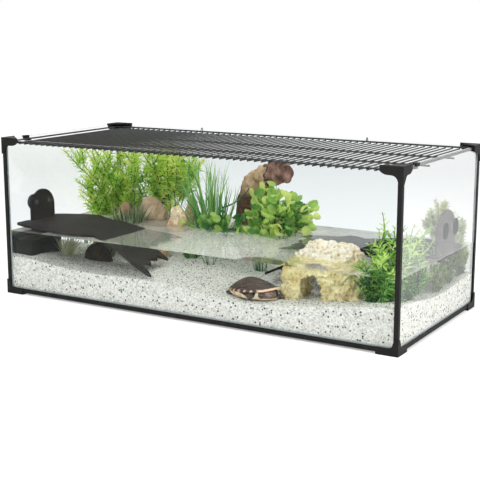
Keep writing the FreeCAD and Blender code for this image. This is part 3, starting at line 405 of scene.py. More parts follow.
end_pane = {"color": (0.985, 0.99, 0.99), "tint": (0.975, 0.985, 0.985)}
tank_water = {"color": (0.987, 0.994, 0.976), "tint": (0.98, 0.99, 0.97), "index": 1.333}
front_glass = see_through("front_glass", (0.875, 0.90, 0.90), 1.12, (0.965, 0.975, 0.975))
left_glass = see_through("left_glass", index=1.45, **end_pane)
right_glass = see_through("right_glass", index=1.75, wet_index=1.10, **end_pane)
water = see_through("tank_water", mirror=0.2, **tank_water)
water_top_sheen = see_through("water_top_sheen", sheen=0.20, **tank_water)
print("clear materials:", [material.name for material in (front_glass, left_glass, right_glass, water, water_top_sheen)])

# %% [markdown]
# ## Gravel
#
# The bed is fine white gravel with dark grains strewn in it. A Voronoi texture splits the surface into cells the
# size of a grain, and each cell's chance colour picks its tone. A second, coarser one turns one cell in nine
# into a dark grain, so that the dark ones are larger and lie apart, as in the photograph.

# %% The gravel material
gravel_grain = 0.0032
dark_grain_size = 0.0054
dark_grains = 0.11
pale_tones = [(0.0, (0.40, 0.40, 0.36)), (0.10, (0.53, 0.52, 0.48)), (0.25, (0.645, 0.635, 0.595)),
              (0.60, (0.76, 0.745, 0.70)), (1.0, (0.86, 0.845, 0.79))]
dark_tones = [(0.0, (0.025, 0.03, 0.03)), (0.6, (0.08, 0.085, 0.085)), (1.0, (0.26, 0.27, 0.26))]
# Painted shade: the colour that darkens the gaps between the pale grains.
shade_between_grains = (0.40, 0.39, 0.34)


def grain_cells(tree, size):
    """Cells of one size: how far a place is from its cell's middle, and the cell's own chance numbers."""
    cells = add_node(tree, "ShaderNodeTexVoronoi", feature="F1")
    cells.inputs["Scale"].default_value = 1.0 / size
    tree.links.new(object_place(tree), cells.inputs["Vector"])
    chance = add_node(tree, "ShaderNodeSeparateColor")
    tree.links.new(cells.outputs["Color"], chance.inputs["Color"])
    return cells.outputs["Distance"], chance.outputs


def gravel_material():
    """Fine white gravel: a cell for each pale grain, painted shade in the gaps between them, and dark grains strewn
    among them.
    """
    material = new_material("gravel", (0.8, 0.8, 0.77), 0.75, Specular_IOR_Level=0.3)
    tree, shader = parts_of(material)
    away, chance = grain_cells(tree, gravel_grain)
    # Painted shade: the cells' edges, the gaps between grains, darken towards this colour.
    gap = share_between(tree, away, 0.45, 0.85, high=0.35)
    pale = mix_color(tree, gap, ramp(tree, chance[0], pale_tones), shade_between_grains)
    dark_away, luck = grain_cells(tree, dark_grain_size)
    chosen = calculate(tree, "LESS_THAN", luck[0], dark_grains)
    dark = calculate(tree, "MULTIPLY", chosen, share_between(tree, dark_away, 0.48, 0.34))
    tree.links.new(mix_color(tree, dark, pale, ramp(tree, luck[1], dark_tones)), shader.inputs["Base Color"])
    add_relief(tree, away, 0.5, gravel_grain * 0.5, invert=True)
    return material


gravel = gravel_material()
print("gravel with", len(gravel.node_tree.nodes), "nodes")

# %% [markdown]
# ## Leaves
#
# The plants are soft plastic or silk, thin enough to glow when light falls on their back, so each material mixes
# a Translucent shader in. A number called tone comes with every leaf and runs from deep green to yellow green
# up the stem. Without it a bush of thousands of leaves would look like one flat mass.

# %% Leaf materials


def leaf_material(name, dark, middle, light, vary):
    """Leaves of one plant, from dark to light by their tone and a soft noise, that let some light through."""
    material = new_material(name, middle, 0.45, Specular_IOR_Level=0.3)
    tree, shader = parts_of(material)
    shade = calculate(tree, "MULTIPLY_ADD", cloud(tree, vary, 2.0), 0.55, attribute(tree, "tone"))
    color = ramp(tree, shade, [(0.32, dark), (0.68, middle), (1.0, light)])
    tree.links.new(color, shader.inputs["Base Color"])
    glow = plain_shader(tree, "ShaderNodeBsdfTranslucent", Color=color)
    tree.links.new(blend_shaders(tree, 0.5, shader.outputs[0], glow), tree.nodes["Material Output"].inputs["Surface"])
    return material


feather_leaf = leaf_material("feather_leaf", (0.08, 0.28, 0.04), (0.46, 0.77, 0.09), (0.86, 0.95, 0.28), 45.0)
grass_leaf = leaf_material("grass_leaf", (0.04, 0.21, 0.04), (0.14, 0.42, 0.11), (0.42, 0.68, 0.24), 30.0)
broad_leaf = leaf_material("broad_leaf", (0.06, 0.24, 0.05), (0.38, 0.66, 0.14), (0.80, 0.92, 0.30), 32.0)
bush_leaf = leaf_material("bush_leaf", (0.03, 0.17, 0.04), (0.26, 0.54, 0.10), (0.66, 0.84, 0.24), 28.0)
dim_leaf = leaf_material("dim_leaf", (0.07, 0.14, 0.03), (0.28, 0.40, 0.11), (0.64, 0.70, 0.32), 40.0)
grey_leaf = leaf_material("grey_leaf", (0.07, 0.12, 0.05), (0.22, 0.29, 0.15), (0.50, 0.54, 0.36), 70.0)
pale_leaf = leaf_material("pale_leaf", (0.50, 0.56, 0.28), (0.82, 0.86, 0.56), (0.95, 0.96, 0.80), 60.0)
stem_bark = new_material("stem_bark", (0.03, 0.055, 0.03), 0.6)
print("leaf materials: 7, and one for stems")

# %% [markdown]
# ## Plastic, wire coat, sealant and clear vinyl
#
# The corner fittings, the boards and the filter are black moulded plastic. Even black plastic isn't one flat
# colour: it has a faint mottle and a fine relief that spreads its shine, so these finishes use the mottle group
# at a low contrast. The right board has the same finish as the left one, but a darker and less glossy copy of
# it: painted shade.

# %% Moulded and soft finishes


def moulded(name, low, high, pit_shade_and_highlight, scale, roughness, relief=0.12, gloss=0.15):
    """Coloured plastic or coating: a slight mottle and a fine relief."""
    material = new_material(name, high, roughness, Specular_IOR_Level=gloss)
    return use_group(material, mottle, {"Scale": scale, "Low": low, "High": high, "Pit Shade And Highlight": pit_shade_and_highlight, "Pit Share": 0.4},
                     relief, 0.0008)


black_plastic = moulded("black_plastic", (0.007, 0.0065, 0.006), (0.012, 0.0115, 0.011), (0.004, 0.004, 0.004),
                        60.0, 0.5)
board_plastic = moulded("board_plastic", (0.014, 0.012, 0.011), (0.034, 0.030, 0.027), (0.006, 0.005, 0.005),
                        20.0, 0.65, relief=0.5)
# Painted shade: a darker, duller copy of the board's finish for the right board.
shaded_board = moulded("shaded_board", (0.006, 0.005, 0.005), (0.013, 0.012, 0.011), (0.003, 0.003, 0.003),
                    20.0, 0.8, relief=0.4, gloss=0.05)
filter_panel = moulded("filter_panel", (0.003, 0.003, 0.003), (0.007, 0.007, 0.007), (0.002, 0.002, 0.002),
                       50.0, 0.6)
wire_coat = moulded("wire_coat", (0.015, 0.015, 0.016), (0.028, 0.028, 0.028), (0.01, 0.01, 0.01),
                    90.0, 0.42, relief=0.15, gloss=0.3)
sealant = new_material("sealant", (0.75, 0.8, 0.8), 0.3, Transmission_Weight=0.75, IOR=1.4)
clear_vinyl = new_material("clear_vinyl", (0.66, 0.69, 0.69), 0.15, Transmission_Weight=0.95, IOR=1.3)
print("plastics:", [material.name for material in (black_plastic, board_plastic, shaded_board, filter_panel, wire_coat)])

# %% [markdown]
# ## The rigid pieces
#
# Panes, fittings, wires, boards and the filter were cut or moulded, and the CAD model has their true form. So
# they stay as they are in the frame, and only their finish is set, by putting a material into each mesh's slot.

# %% Dress the CAD pieces


def dress(names, material):
    """Give CAD nodes a material."""
    for name in names:
        mesh = nodes[name].data
        mesh.materials.clear()
        mesh.materials.append(material)


def named(*starts):
    """All CAD nodes whose name starts with one of these words."""
    return [name for name in nodes if name.startswith(starts)]


dress(["front_pane", "back_pane", "base_pane"], front_glass)
dress(["left_pane"], left_glass)
dress(["right_pane"], right_glass)
dress(["silicone_seal"], sealant)
dress(named("edge_guard", "top_cap", "foot_", "base_trim", "lid_clip", "filter_housing"), black_plastic)
dress(named("lid_frame", "lid_bars", "lid_cross_rods", "lid_hook"), wire_coat)
dress(named("platform_"), board_plastic)
# The right board gets the darker copy of the finish: painted shade.
dress(["platform_right"], shaded_board)
dress(["filter_cover"], filter_panel)
dress(named("suction_cups"), clear_vinyl)
dress(["gravel_bed"], gravel)
print("CAD nodes with their own finish:", sum(bool(piece.data.materials) for piece in nodes.values()))

# %% [markdown]
# ## Helpers for new meshes
#
# A finished piece keeps its place in its mesh and its object stays at the origin, so that patterns on object
# coordinates stay where they are.

# %% Make, settle, join and hand over meshes


def put_in_scene(piece):
    """Link an object to the scene."""
    bpy.context.scene.collection.objects.link(piece)
    return piece


def smooth_faces(mesh, smooth=True):
    """Shade all faces of a mesh smoothly, or flat."""
    mesh.polygons.foreach_set("use_smooth", [smooth] * len(mesh.polygons))


def mesh_object(name, points, faces, material=None, smooth=True):
    """A mesh object at the origin."""
    mesh = bpy.data.meshes.new(name)
    mesh.from_pydata([tuple(place) for place in points], [], faces)
    mesh.update()
    smooth_faces(mesh, smooth)
    if material:
        mesh.materials.append(material)
    return put_in_scene(bpy.data.objects.new(name, mesh))


def settled(piece, name):
    """The piece with its modifiers made real, as a plain mesh."""
    graph = bpy.context.evaluated_depsgraph_get()
    mesh = bpy.data.meshes.new_from_object(piece.evaluated_get(graph))
    result = put_in_scene(bpy.data.objects.new(name + "_done", mesh))
    bpy.data.objects.remove(piece)
    result.name = name
    return result


def joined(name, pieces):
    """Several mesh objects made one."""
    for other in bpy.context.selected_objects:
        other.select_set(False)
    for piece in pieces:
        piece.select_set(True)
    bpy.context.view_layer.objects.active = pieces[0]
    bpy.ops.object.join()
    pieces[0].name = name
    pieces[0].data.name = name
    return pieces[0]


def finish_piece(piece, replaced=()):
    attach(piece, "root")
    if replaced:
        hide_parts(*replaced)
    print(piece.name, len(piece.data.polygons), "faces")
    return piece

# %% [markdown]
# ## Water
#
# The water is one clear block that fills the tank up to its level. It has to be closed, because glass-like
# materials bend light where it enters and where it leaves. Its underside lies inside the gravel, and its sides
# stop just short of the glass, so that no two faces lie in one plane and flicker. The top is a fine grid that a
# faint noise ripples.

# %% The water block
water_gap = 0.0001
water_foot = 0.02
ripple_height = 0.0004
ripple_scale = 14.0
water_columns, water_rows = 60, 26


def water_points(low, high):
    """Pairs of points over the grid: the rippled top, and the flat underside."""
    points = []
    for i in range(water_columns + 1):
        for j in range(water_rows + 1):
            x = low.x + (high.x - low.x) * i / water_columns
            y = low.y + (high.y - low.y) * j / water_rows
            rim = i in (0, water_columns) or j in (0, water_rows)
            ripple = 0.0 if rim else ripple_height * noise.noise(Vector((x * ripple_scale, y * ripple_scale, 3.0)))
            points += [(x, y, water_level + ripple), (x, y, inner_low.z + water_foot)]
    return points


def water_faces():
    """Faces of the top, the underside and the four sides."""
    def at(i, j, lower):
        return 2 * (i * (water_rows + 1) + j) + lower

    faces = []
    for i in range(water_columns):
        for j in range(water_rows):
            faces.append((at(i, j, 0), at(i + 1, j, 0), at(i + 1, j + 1, 0), at(i, j + 1, 0)))
            faces.append((at(i, j + 1, 1), at(i + 1, j + 1, 1), at(i + 1, j, 1), at(i, j, 1)))
    for i in range(water_columns):
        faces.append((at(i, 0, 1), at(i + 1, 0, 1), at(i + 1, 0, 0), at(i, 0, 0)))
        faces.append((at(i + 1, water_rows, 1), at(i, water_rows, 1), at(i, water_rows, 0),
                      at(i + 1, water_rows, 0)))
    for j in range(water_rows):
        faces.append((at(0, j + 1, 1), at(0, j, 1), at(0, j, 0), at(0, j + 1, 0)))
        faces.append((at(water_columns, j, 1), at(water_columns, j + 1, 1), at(water_columns, j + 1, 0),
                      at(water_columns, j, 0)))
    return faces


def water_block():
    """A closed block of water; its top has a material of its own, with the painted sheen."""
    gap = Vector((water_gap, water_gap, 0))
    block = mesh_object("water_body", water_points(inner_low + gap, inner_high - gap), water_faces(), water,
                        smooth=False)
    block.data.materials.append(water_top_sheen)
    for polygon in block.data.polygons:
        polygon.material_index = 1 if polygon.normal.z > 0.5 else 0
    return block


finish_piece(water_block())

# %% [markdown]
# ## Stones
#
# A real stone is worn: its edges are round, and it has lumps, hollows and, in the cave stone and the tan ones,
# pores. Sculpting would do it by hand. Here each CAD stone is remeshed finely, softened, and pushed in and out
# by noise, which keeps its place and outline but loses its flat facets. Cells of a Voronoi noise cut the pores.

# %% Weathered stones
noise_roughness, noise_step, noise_octaves = 0.9, 2.1, 4
pore_reach = 0.48
pore_shade = 0.9


def hash_place(name):
    """A number that is always the same for a name, to give each stone its own noise."""
    return sum(ord(letter) for letter in name) * 0.137


def remeshed(name, node, voxel, soften):
    """A fine, softened copy of a CAD solid."""
    copy = put_in_scene(bpy.data.objects.new(name + "_raw", nodes[node].data.copy()))
    remesh = copy.modifiers.new("remesh", "REMESH")
    remesh.mode = "VOXEL"
    remesh.voxel_size = voxel
    smooth = copy.modifiers.new("smooth", "SMOOTH")
    smooth.factor = 0.6
    smooth.iterations = soften
    return settled(copy, name)


def weathered(name, node, voxel, soften, depth, scale, material, stretch=(1, 1, 1), pores=0.0, pore_scale=150.0):
    """A finer copy of a CAD solid with a worn, uneven and, if asked, porous surface."""
    piece = remeshed(name, node, voxel, soften)
    mesh = piece.data
    shift = Vector((hash_place(name), 0, 0))
    moved, dark = [], []
    for vertex in mesh.vertices:
        place = Vector([c * s * scale for c, s in zip(vertex.co, stretch)]) + shift
        wave = depth * noise.fractal(place, noise_roughness, noise_step, noise_octaves,
                                     noise_basis="PERLIN_ORIGINAL")
        hole = 0.0
        if pores:
            cell = noise.voronoi(vertex.co * pore_scale + shift)[0][0]
            hole = max(0.0, 1.0 - cell / pore_reach)
        # Painted shade: this number darkens the pores in the material.
        dark.append(pore_shade * hole)
        moved.append(vertex.co + vertex.normal * (wave - pores * hole))
    for vertex, place in zip(mesh.vertices, moved):
        vertex.co = place
    smooth_faces(mesh)
    mesh.attributes.new("pore", "FLOAT", "POINT").data.foreach_set("value", dark)
    mesh.materials.clear()
    mesh.materials.append(material)
    return piece


finish_piece(weathered("cave_stone", "cave_rock", 0.0020, 4, 0.0085, 70.0, cream_stone, pores=0.0045,
                       pore_scale=120.0), ["cave_rock"])
finish_piece(weathered("brown_stone", "brown_rock", 0.0026, 6, 0.0070, 26.0, brown_stone),
             ["brown_rock"])
for side in ("left", "right"):
    finish_piece(weathered("tan_stone_" + side, "tan_rock_" + side, 0.0020, 4, 0.0055, 48.0, tan_stone,
                           pores=0.003, pore_scale=170.0), ["tan_rock_" + side])
finish_piece(weathered("pink_stone", "pink_rock", 0.0024, 5, 0.0060, 48.0, pink_stone),
             ["pink_rock"])
finish_piece(weathered("dark_stone", "dark_rock", 0.0030, 6, 0.0060, 34.0, dark_stone),
             ["dark_rock"])

# %% [markdown]
# ## Driftwood
#
# The limb is weathered wood: tan on its upper left, dark brown at its foot and redder right of a crease, whose
# dark line is painted shade.
# Its lumps are made as on the stones, with the noise stretched along the limb. The colour needs no image: three
# ramps on one noise give the three woods, and the height and the way across say which of them shows.

# %% The limb and its bark
bark_foot, bark_foot_end = 0.236, 0.214
russet_start, russet_end = 0.026, 0.034
crease_place = 0.028
tan_wood = [(0.32, (0.20, 0.11, 0.06)), (0.44, (0.44, 0.29, 0.17)), (0.58, (0.58, 0.42, 0.26)),
            (0.75, (0.70, 0.54, 0.36))]
umber_wood = [(0.35, (0.045, 0.022, 0.014)), (0.60, (0.15, 0.075, 0.045)), (0.75, (0.26, 0.15, 0.09))]
russet_wood = [(0.35, (0.08, 0.038, 0.030)), (0.58, (0.30, 0.17, 0.13)), (0.75, (0.48, 0.32, 0.25))]


def bark_material():
    """Weathered wood: tan on the upper left, dark brown at the foot, and redder right of a crease whose dark line is
    painted shade.
    """
    material = new_material("bark", (0.5, 0.34, 0.2), 0.8, Specular_IOR_Level=0.3)
    tree, shader = parts_of(material)
    sides = object_sides(tree)
    streaks = cloud(tree, 55.0, 7.0)
    tan, umber, russet = [ramp(tree, streaks, stops) for stops in (tan_wood, umber_wood, russet_wood)]
    ragged = calculate(tree, "MULTIPLY_ADD", streaks, 0.05, sides["X"])
    color = mix_color(tree, share_between(tree, sides["Z"], bark_foot, bark_foot_end), tan, umber)
    color = mix_color(tree, share_between(tree, ragged, russet_start, russet_end), color, russet)
    # Painted shade: a near-black line along the crease.
    from_crease = calculate(tree, "ABSOLUTE", calculate(tree, "SUBTRACT", ragged, crease_place))
    color = mix_color(tree, share_between(tree, from_crease, 0.004, 0.001), color, (0.03, 0.015, 0.012))
    tree.links.new(color, shader.inputs["Base Color"])
    add_relief(tree, streaks, 0.8, 0.004)
    return material


finish_piece(weathered("driftwood_limb", "driftwood", 0.0026, 6, 0.009, 26.0, bark_material(), (1.3, 1.3, 0.7)),
             ["driftwood"])

# %% [markdown]
# ## Leaves by Geometry Nodes
#
# A bush has thousands of leaves that are all alike but for their size and turn. That is what Geometry Nodes are
# for, and one tree serves every plant. It takes a mesh whose points say where leaves grow, stands a leaf on each
# point along the point's own way, turns and sizes it at random from a fixed seed, and ends in plain geometry
# with its material. A number called tone travels with each point into the leaves.

# %% The tree that stands leaves on points


def named_number(tree, name, kind):
    """A number or a vector that the points carry."""
    node = add_node(tree, "GeometryNodeInputNamedAttribute", data_type=kind)
    node.inputs["Name"].default_value = name
    return node.outputs["Attribute"]


def random_number(tree, seed, low, high):
    """A random number for each point, between two outputs."""
    node = add_node(tree, "FunctionNodeRandomValue", data_type="FLOAT")
    if low is not None:
        tree.links.new(low, node.inputs[2])
    tree.links.new(high, node.inputs[3])
    tree.links.new(seed, node.inputs["Seed"])
    return node.outputs[1]


def leaf_tree():
    """Leaves on points, along the points' own way, turned and sized at random."""
    tree = bpy.data.node_groups.new("leaves_on_points", "GeometryNodeTree")
    face = tree.interface
    for label, kind in (("Geometry", "NodeSocketGeometry"), ("Leaf", "NodeSocketObject"),
                        ("Material", "NodeSocketMaterial"), ("Smallest", "NodeSocketFloat"),
                        ("Largest", "NodeSocketFloat"), ("Most Turn", "NodeSocketFloat"),
                        ("Seed", "NodeSocketInt")):
        face.new_socket(label, in_out="INPUT", socket_type=kind)
    face.new_socket("Geometry", in_out="OUTPUT", socket_type="NodeSocketGeometry")
    given, end = tree.nodes.new("NodeGroupInput").outputs, tree.nodes.new("NodeGroupOutput")
    leaf = tree.nodes.new("GeometryNodeObjectInfo")
    tree.links.new(given["Leaf"], leaf.inputs["Object"])
    upright = add_node(tree, "FunctionNodeAlignRotationToVector", axis="Z")
    tree.links.new(named_number(tree, "way", "FLOAT_VECTOR"), upright.inputs["Vector"])
    around = tree.nodes.new("ShaderNodeCombineXYZ")
    tree.links.new(random_number(tree, given["Seed"], None, given["Most Turn"]), around.inputs["Z"])
    turned = add_node(tree, "FunctionNodeRotateRotation", rotation_space="LOCAL")
    tree.links.new(upright.outputs["Rotation"], turned.inputs["Rotation"])
    tree.links.new(around.outputs[0], turned.inputs["Rotate By"])
    size = random_number(tree, given["Seed"], given["Smallest"], given["Largest"])
    stand = tree.nodes.new("GeometryNodeInstanceOnPoints")
    tree.links.new(given["Geometry"], stand.inputs["Points"])
    tree.links.new(leaf.outputs["Geometry"], stand.inputs["Instance"])
    tree.links.new(turned.outputs["Rotation"], stand.inputs["Rotation"])
    scale = calculate(tree, "MULTIPLY", size, named_number(tree, "size", "FLOAT"))
    tree.links.new(scale, stand.inputs["Scale"])
    real = tree.nodes.new("GeometryNodeRealizeInstances")
    tree.links.new(stand.outputs["Instances"], real.inputs["Geometry"])
    paint = tree.nodes.new("GeometryNodeSetMaterial")
    tree.links.new(real.outputs["Geometry"], paint.inputs["Geometry"])
    tree.links.new(given["Material"], paint.inputs["Material"])
    tree.links.new(paint.outputs["Geometry"], end.inputs["Geometry"])
    return tree


leaves_on_points = leaf_tree()
print("tree", leaves_on_points.name, "with", len(leaves_on_points.nodes), "nodes")

# %% [markdown]
# ## Using the tree
#
# The spots where leaves grow are worked out in Python and written to a mesh of bare points, with each point's
# way, size and tone as attributes. The modifier's inputs are set by their sockets' own identifiers, because two
# sockets may share a name, and new_from_object turns the result into a plain mesh.

# %% Grow leaves on spots


def set_input(modifier, tree, label, value):
    """Set a Geometry Nodes input by its socket's own identifier."""
    for item in tree.interface.items_tree:
        if item.name == label and item.in_out == "INPUT":
            modifier[item.identifier] = value


def grow(name, spots, leaf, material, smallest, largest, seed):
    """Leaves on a list of (place, way, size, tone)."""
    piece = mesh_object(name, [spot[0] for spot in spots], [])
    marks = piece.data.attributes
    marks.new("way", "FLOAT_VECTOR", "POINT")
    marks.new("size", "FLOAT", "POINT")
    marks.new("tone", "FLOAT", "POINT")
    for k, (_, way, size, tone) in enumerate(spots):
        marks["way"].data[k].vector = way
        marks["size"].data[k].value = size
        marks["tone"].data[k].value = tone
    modifier = piece.modifiers.new("leaves", "NODES")
    modifier.node_group = leaves_on_points
    for label, value in (("Leaf", leaf), ("Material", material), ("Smallest", smallest), ("Largest", largest),
                         ("Most Turn", math.tau), ("Seed", seed)):
        set_input(modifier, leaves_on_points, label, value)
    return settled(piece, name)


def template(name, points, faces):
    """A leaf that others are copied from, kept out of the scene."""
    mesh = bpy.data.meshes.new(name)
    mesh.from_pydata(points, [], faces)
    smooth_faces(mesh)
    return bpy.data.objects.new(name, mesh)

# %% [markdown]
# ## Rings of narrow leaves
#
# On the feathery plant and the bushes, narrow leaves stand in rings round the stem, so the thing to copy is a
# whole ring. Each leaf is a strip with a fold along its middle. A ring has only some twenty faces, because
# there are thousands of them, and its longer and shorter leaves alternate.

# %% Leaf rings
leaf_fold = 0.15


def strip(length, width, droop, steps, way, lift):
    """Points and faces of a narrow leaf that grows out from the origin, by an angle round Z."""
    points, faces = [], []
    for s in range(steps + 1):
        share = s / steps
        half = width / 2 * math.sin(math.pi * min(0.14 + share * 0.85, 0.985)) ** 0.8
        out = length * share * math.cos(lift)
        rise = length * (share * math.sin(lift) - droop * share * share)
        for side in (-1, 0, 1):
            x, y, z = out, half * side, rise + (leaf_fold * half if side else 0.0)
            points.append((x * math.cos(way) - y * math.sin(way), x * math.sin(way) + y * math.cos(way), z))
    for s in range(steps):
        for c in (0, 1):
            a = s * 3 + c
            faces.append((a, a + 3, a + 4, a + 1))
    return points, faces


def whorl(name, count, length, width, droop, lift, steps):
    """A ring of narrow leaves."""
    points, faces = [], []
    for k in range(count):
        reach = length * (1.0 if k % 2 else 0.8)
        rise = lift + (0.15 if k % 2 else -0.15)
        more, quads = strip(reach, width, droop, steps, math.tau * k / count, rise)
        faces += [tuple(c + len(points) for c in quad) for quad in quads]
        points += more
    return template(name, points, faces)


feather_whorl = whorl("feather_whorl", 5, 0.027, 0.0062, 0.06, 0.62, steps=2)
needle_whorl = whorl("needle_whorl", 6, 0.021, 0.0046, 0.12, 0.7, steps=2)
lance_whorl = whorl("lance_whorl", 3, 0.031, 0.0056, 0.25, 0.72, steps=3)
print("faces in a ring:", [len(leaf.data.polygons) for leaf in (feather_whorl, needle_whorl, lance_whorl)])

# %% [markdown]
# ## Stems
#
# A stem is a bowed line, thick at its foot and thin at its tip. In Blender that is a curve with a round bevel
# and a radius at each point. Some noise keeps a stem from looking like a drawn arc.

# %% Stems


def route(base, tip, bow, steps=14, wobble=0.0, seed=0):
    """A bowed way from base to tip."""
    points = []
    for k in range(steps + 1):
        share = k / steps
        place = base.lerp(tip, share) + bow * (4 * share * (1 - share))
        if wobble and 0 < k < steps:
            place = place + noise.noise_vector(Vector((seed * 3.1, share * 5.0, 1.7))) * wobble
        points.append(place)
    return points


def stem_curve(name, routes, radius, material, taper=0.45):
    """Round stems along routes of points, as one mesh."""
    curve = bpy.data.curves.new(name, "CURVE")
    curve.dimensions = "3D"
    curve.bevel_depth = radius
    curve.bevel_resolution = 1
    curve.use_fill_caps = True
    for line_points in routes:
        line = curve.splines.new("POLY")
        line.points.add(len(line_points) - 1)
        for k, place in enumerate(line_points):
            line.points[k].co = (*place, 1.0)
            line.points[k].radius = 1.0 - taper * k / (len(line_points) - 1)
    curve.materials.append(material)
    return settled(put_in_scene(bpy.data.objects.new(name, curve)), name)

# %% [markdown]
# ## Roots and limits
#
# A root has to be in the gravel, whose surface is uneven, so its level is felt with a ray from above. Every tip
# is kept off the glass and under the lid, where a real plant would bend back too.

# %% Roots and limits


def bed_level(x, y):
    """Level of the gravel under a place, felt from above on the CAD bed."""
    hit, place, _, _ = nodes["gravel_bed"].ray_cast(Vector((x, y, gravel_high.z + 0.05)), Vector((0, 0, -1)))
    return place.z if hit else gravel_low.z + 0.06


def rooted(x, y, tip, reach, rng):
    """A root near the middle of a plant, on the side of the stem's tip."""
    away = Vector((tip[0] - x, tip[1] - y, 0))
    away = away.normalized() if away.length > 1e-6 else Vector((1, 0, 0))
    place = Vector((x, y, 0)) + away * reach * rng.uniform(0.4, 0.9)
    return Vector((place.x, place.y, bed_level(place.x, place.y) - 0.002))


def inside_tank(place, margin=0.016):
    """Keep a place off the glass and under the lid."""
    return Vector((min(max(place.x, inner_low.x + margin), inner_high.x - margin),
                   min(max(place.y, inner_low.y + margin), inner_high.y - margin),
                   min(place.z, lid_under - margin * 0.7)))


print("gravel in the middle of the tank:", round(bed_level(0.0, 0.0), 4))

# %% [markdown]
# ## Loose grains on the gravel
#
# Gravel is not a smooth slope, and bump can't show that at its edge against the glass. So the bed's top carries
# real grains, each one a flattened diamond of eight faces. The same tree that carries leaves puts them there:
# pale ones nearly everywhere, and a dark one now and then.

# %% Strew the grains
grain_count = 10500
grain_sizes = (0.0011, 0.0022)
grain_margin = 0.004
grain_lift = 0.0004
dark_share = 0.24
grain_tones = [(0.0, (0.04, 0.045, 0.045)), (0.25, (0.20, 0.21, 0.20)), (0.35, (0.59, 0.58, 0.53)),
               (1.0, (0.87, 0.85, 0.80))]


def grain_material():
    """Grains from near black to white by their tone."""
    material = new_material("loose_grain", (0.7, 0.7, 0.66), 0.8, Specular_IOR_Level=0.25)
    tree, shader = parts_of(material)
    tree.links.new(ramp(tree, attribute(tree, "tone"), grain_tones), shader.inputs["Base Color"])
    return material


def loose_grains():
    """Small flattened grains strewn over the bed, clear of the glass."""
    grain = template("grain", [(1, 0, 0), (0, 0.8, 0), (-1, 0, 0), (0, -0.8, 0), (0, 0, 0.7), (0, 0, -0.7)],
                     [(0, 1, 4), (1, 2, 4), (2, 3, 4), (3, 0, 4), (1, 0, 5), (2, 1, 5), (3, 2, 5), (0, 3, 5)])
    rng = random.Random(7)
    spots = []
    for _ in range(grain_count):
        x = rng.uniform(inner_low.x + grain_margin, inner_high.x - grain_margin)
        y = rng.uniform(inner_low.y + grain_margin, inner_high.y - grain_margin)
        way = Vector((rng.uniform(-0.5, 0.5), rng.uniform(-0.5, 0.5), 1.0)).normalized()
        tone = rng.uniform(0.0, 0.25) if rng.random() < dark_share else rng.uniform(0.4, 1.0)
        spots.append((Vector((x, y, bed_level(x, y) + grain_lift)), way, 1.0, tone))
    return grow("gravel_grains", spots, grain, grain_material(), *grain_sizes, 5)


finish_piece(loose_grains())

# %% [markdown]
# ## How a leafy plant is put together
#
# Stems rise from one foot and end at tips that were read off the photograph. Side shoots leave each stem all the
# way up, and rings of leaves sit close together on both, smaller and yellower towards the tip.

# %% Leaf spots and side shoots
tone_spread = 0.30
tip_tone = 0.28


def along(points, first, spacing, size_low, size_high, tone, rng):
    """Leaf spots up a route: (place, way, size, tone), smaller and yellower at the tip."""
    spots = []
    total = sum((b - a).length for a, b in zip(points, points[1:]))
    travelled, wanted = 0.0, total * first
    for a, b in zip(points, points[1:]):
        step = (b - a).length
        while wanted <= travelled + step:
            share = wanted / total
            place = a.lerp(b, (wanted - travelled) / step)
            shade = tone + tip_tone * share + rng.uniform(-tone_spread, tone_spread)
            spots.append((place, (b - a).normalized(), size_high + (size_low - size_high) * share, shade))
            wanted += spacing
        travelled += step
    return spots


def shoots(line, count, span, reach, climb, rng):
    """Side shoots off a stem: short bowed routes, evenly up the span, turning round the stem."""
    found = []
    angle = rng.uniform(0, math.tau)
    for s in range(count):
        share = span[0] + (span[1] - span[0]) * (s + rng.uniform(0.1, 0.9)) / count
        start = line[int(share * (len(line) - 1))]
        angle += 2.4 + rng.uniform(-0.4, 0.4)
        out = rng.uniform(*reach)
        end = start + Vector((math.cos(angle) * out, math.sin(angle) * out, rng.uniform(*climb)))
        found.append(route(start, inside_tank(end), Vector((0, 0, -0.005)), steps=6))
    return found

# %% [markdown]
# ## One function for every leafy plant
#
# It takes the feet and tips of a plant, its ring of leaves and a material, and hands over one piece. Each plant
# has its own seeded chance numbers. Leaves under water get a darker tone, since water takes some of their light.

# %% A leafy plant
stem_radius = 0.0011
stem_root_reach = 0.015
stem_bow = 0.12
stem_wobble = 0.006
ring_sizes = (0.6, 1.0)


def leafy_plant(name, feet, leaf, material, spacing, replaced, first, seed, side, tone, sink=0.0):
    """Stems from their feet, each with leaf rings and side shoots. Feet are (x, y, tips) and, if it differs, where
    the leaves start; side is (count, span, reach, climb) of the shoots; sink darkens leaves under water."""
    rng = random.Random(seed)
    routes, spots = [], []
    for x, y, tips, *own_first in feet:
        lowest = own_first[0] if own_first else first
        for k, tip in enumerate(tips):
            tip = inside_tank(Vector(tip))
            base = rooted(x, y, tip, stem_root_reach, rng)
            lean = Vector((base.x - tip.x, base.y - tip.y, 0)) * stem_bow
            line = route(base, tip, lean, wobble=stem_wobble, seed=seed + k)
            routes.append(line)
            stem_tone = tone + rng.uniform(-0.12, 0.12)
            spots += along(line, lowest, spacing, *ring_sizes, stem_tone, rng)
            count, span, reach, climb = side
            for shoot in shoots(line, count, (max(span[0], lowest), span[1]), reach, climb, rng):
                routes.append(shoot)
                spots += along(shoot, 0.12, spacing, *ring_sizes, stem_tone, rng)
    spots = [(place, way, much, shade - sink * (place.z < water_level)) for place, way, much, shade in spots]
    leaves = grow(name + "_leaves", spots, leaf, material, 0.8, 1.15, seed)
    stems = stem_curve(name + "_stems", routes, stem_radius, stem_bark)
    print(name, len(routes), "stems and shoots,", len(spots), "leaf rings")
    return finish_piece(joined(name, [leaves, stems]), replaced)

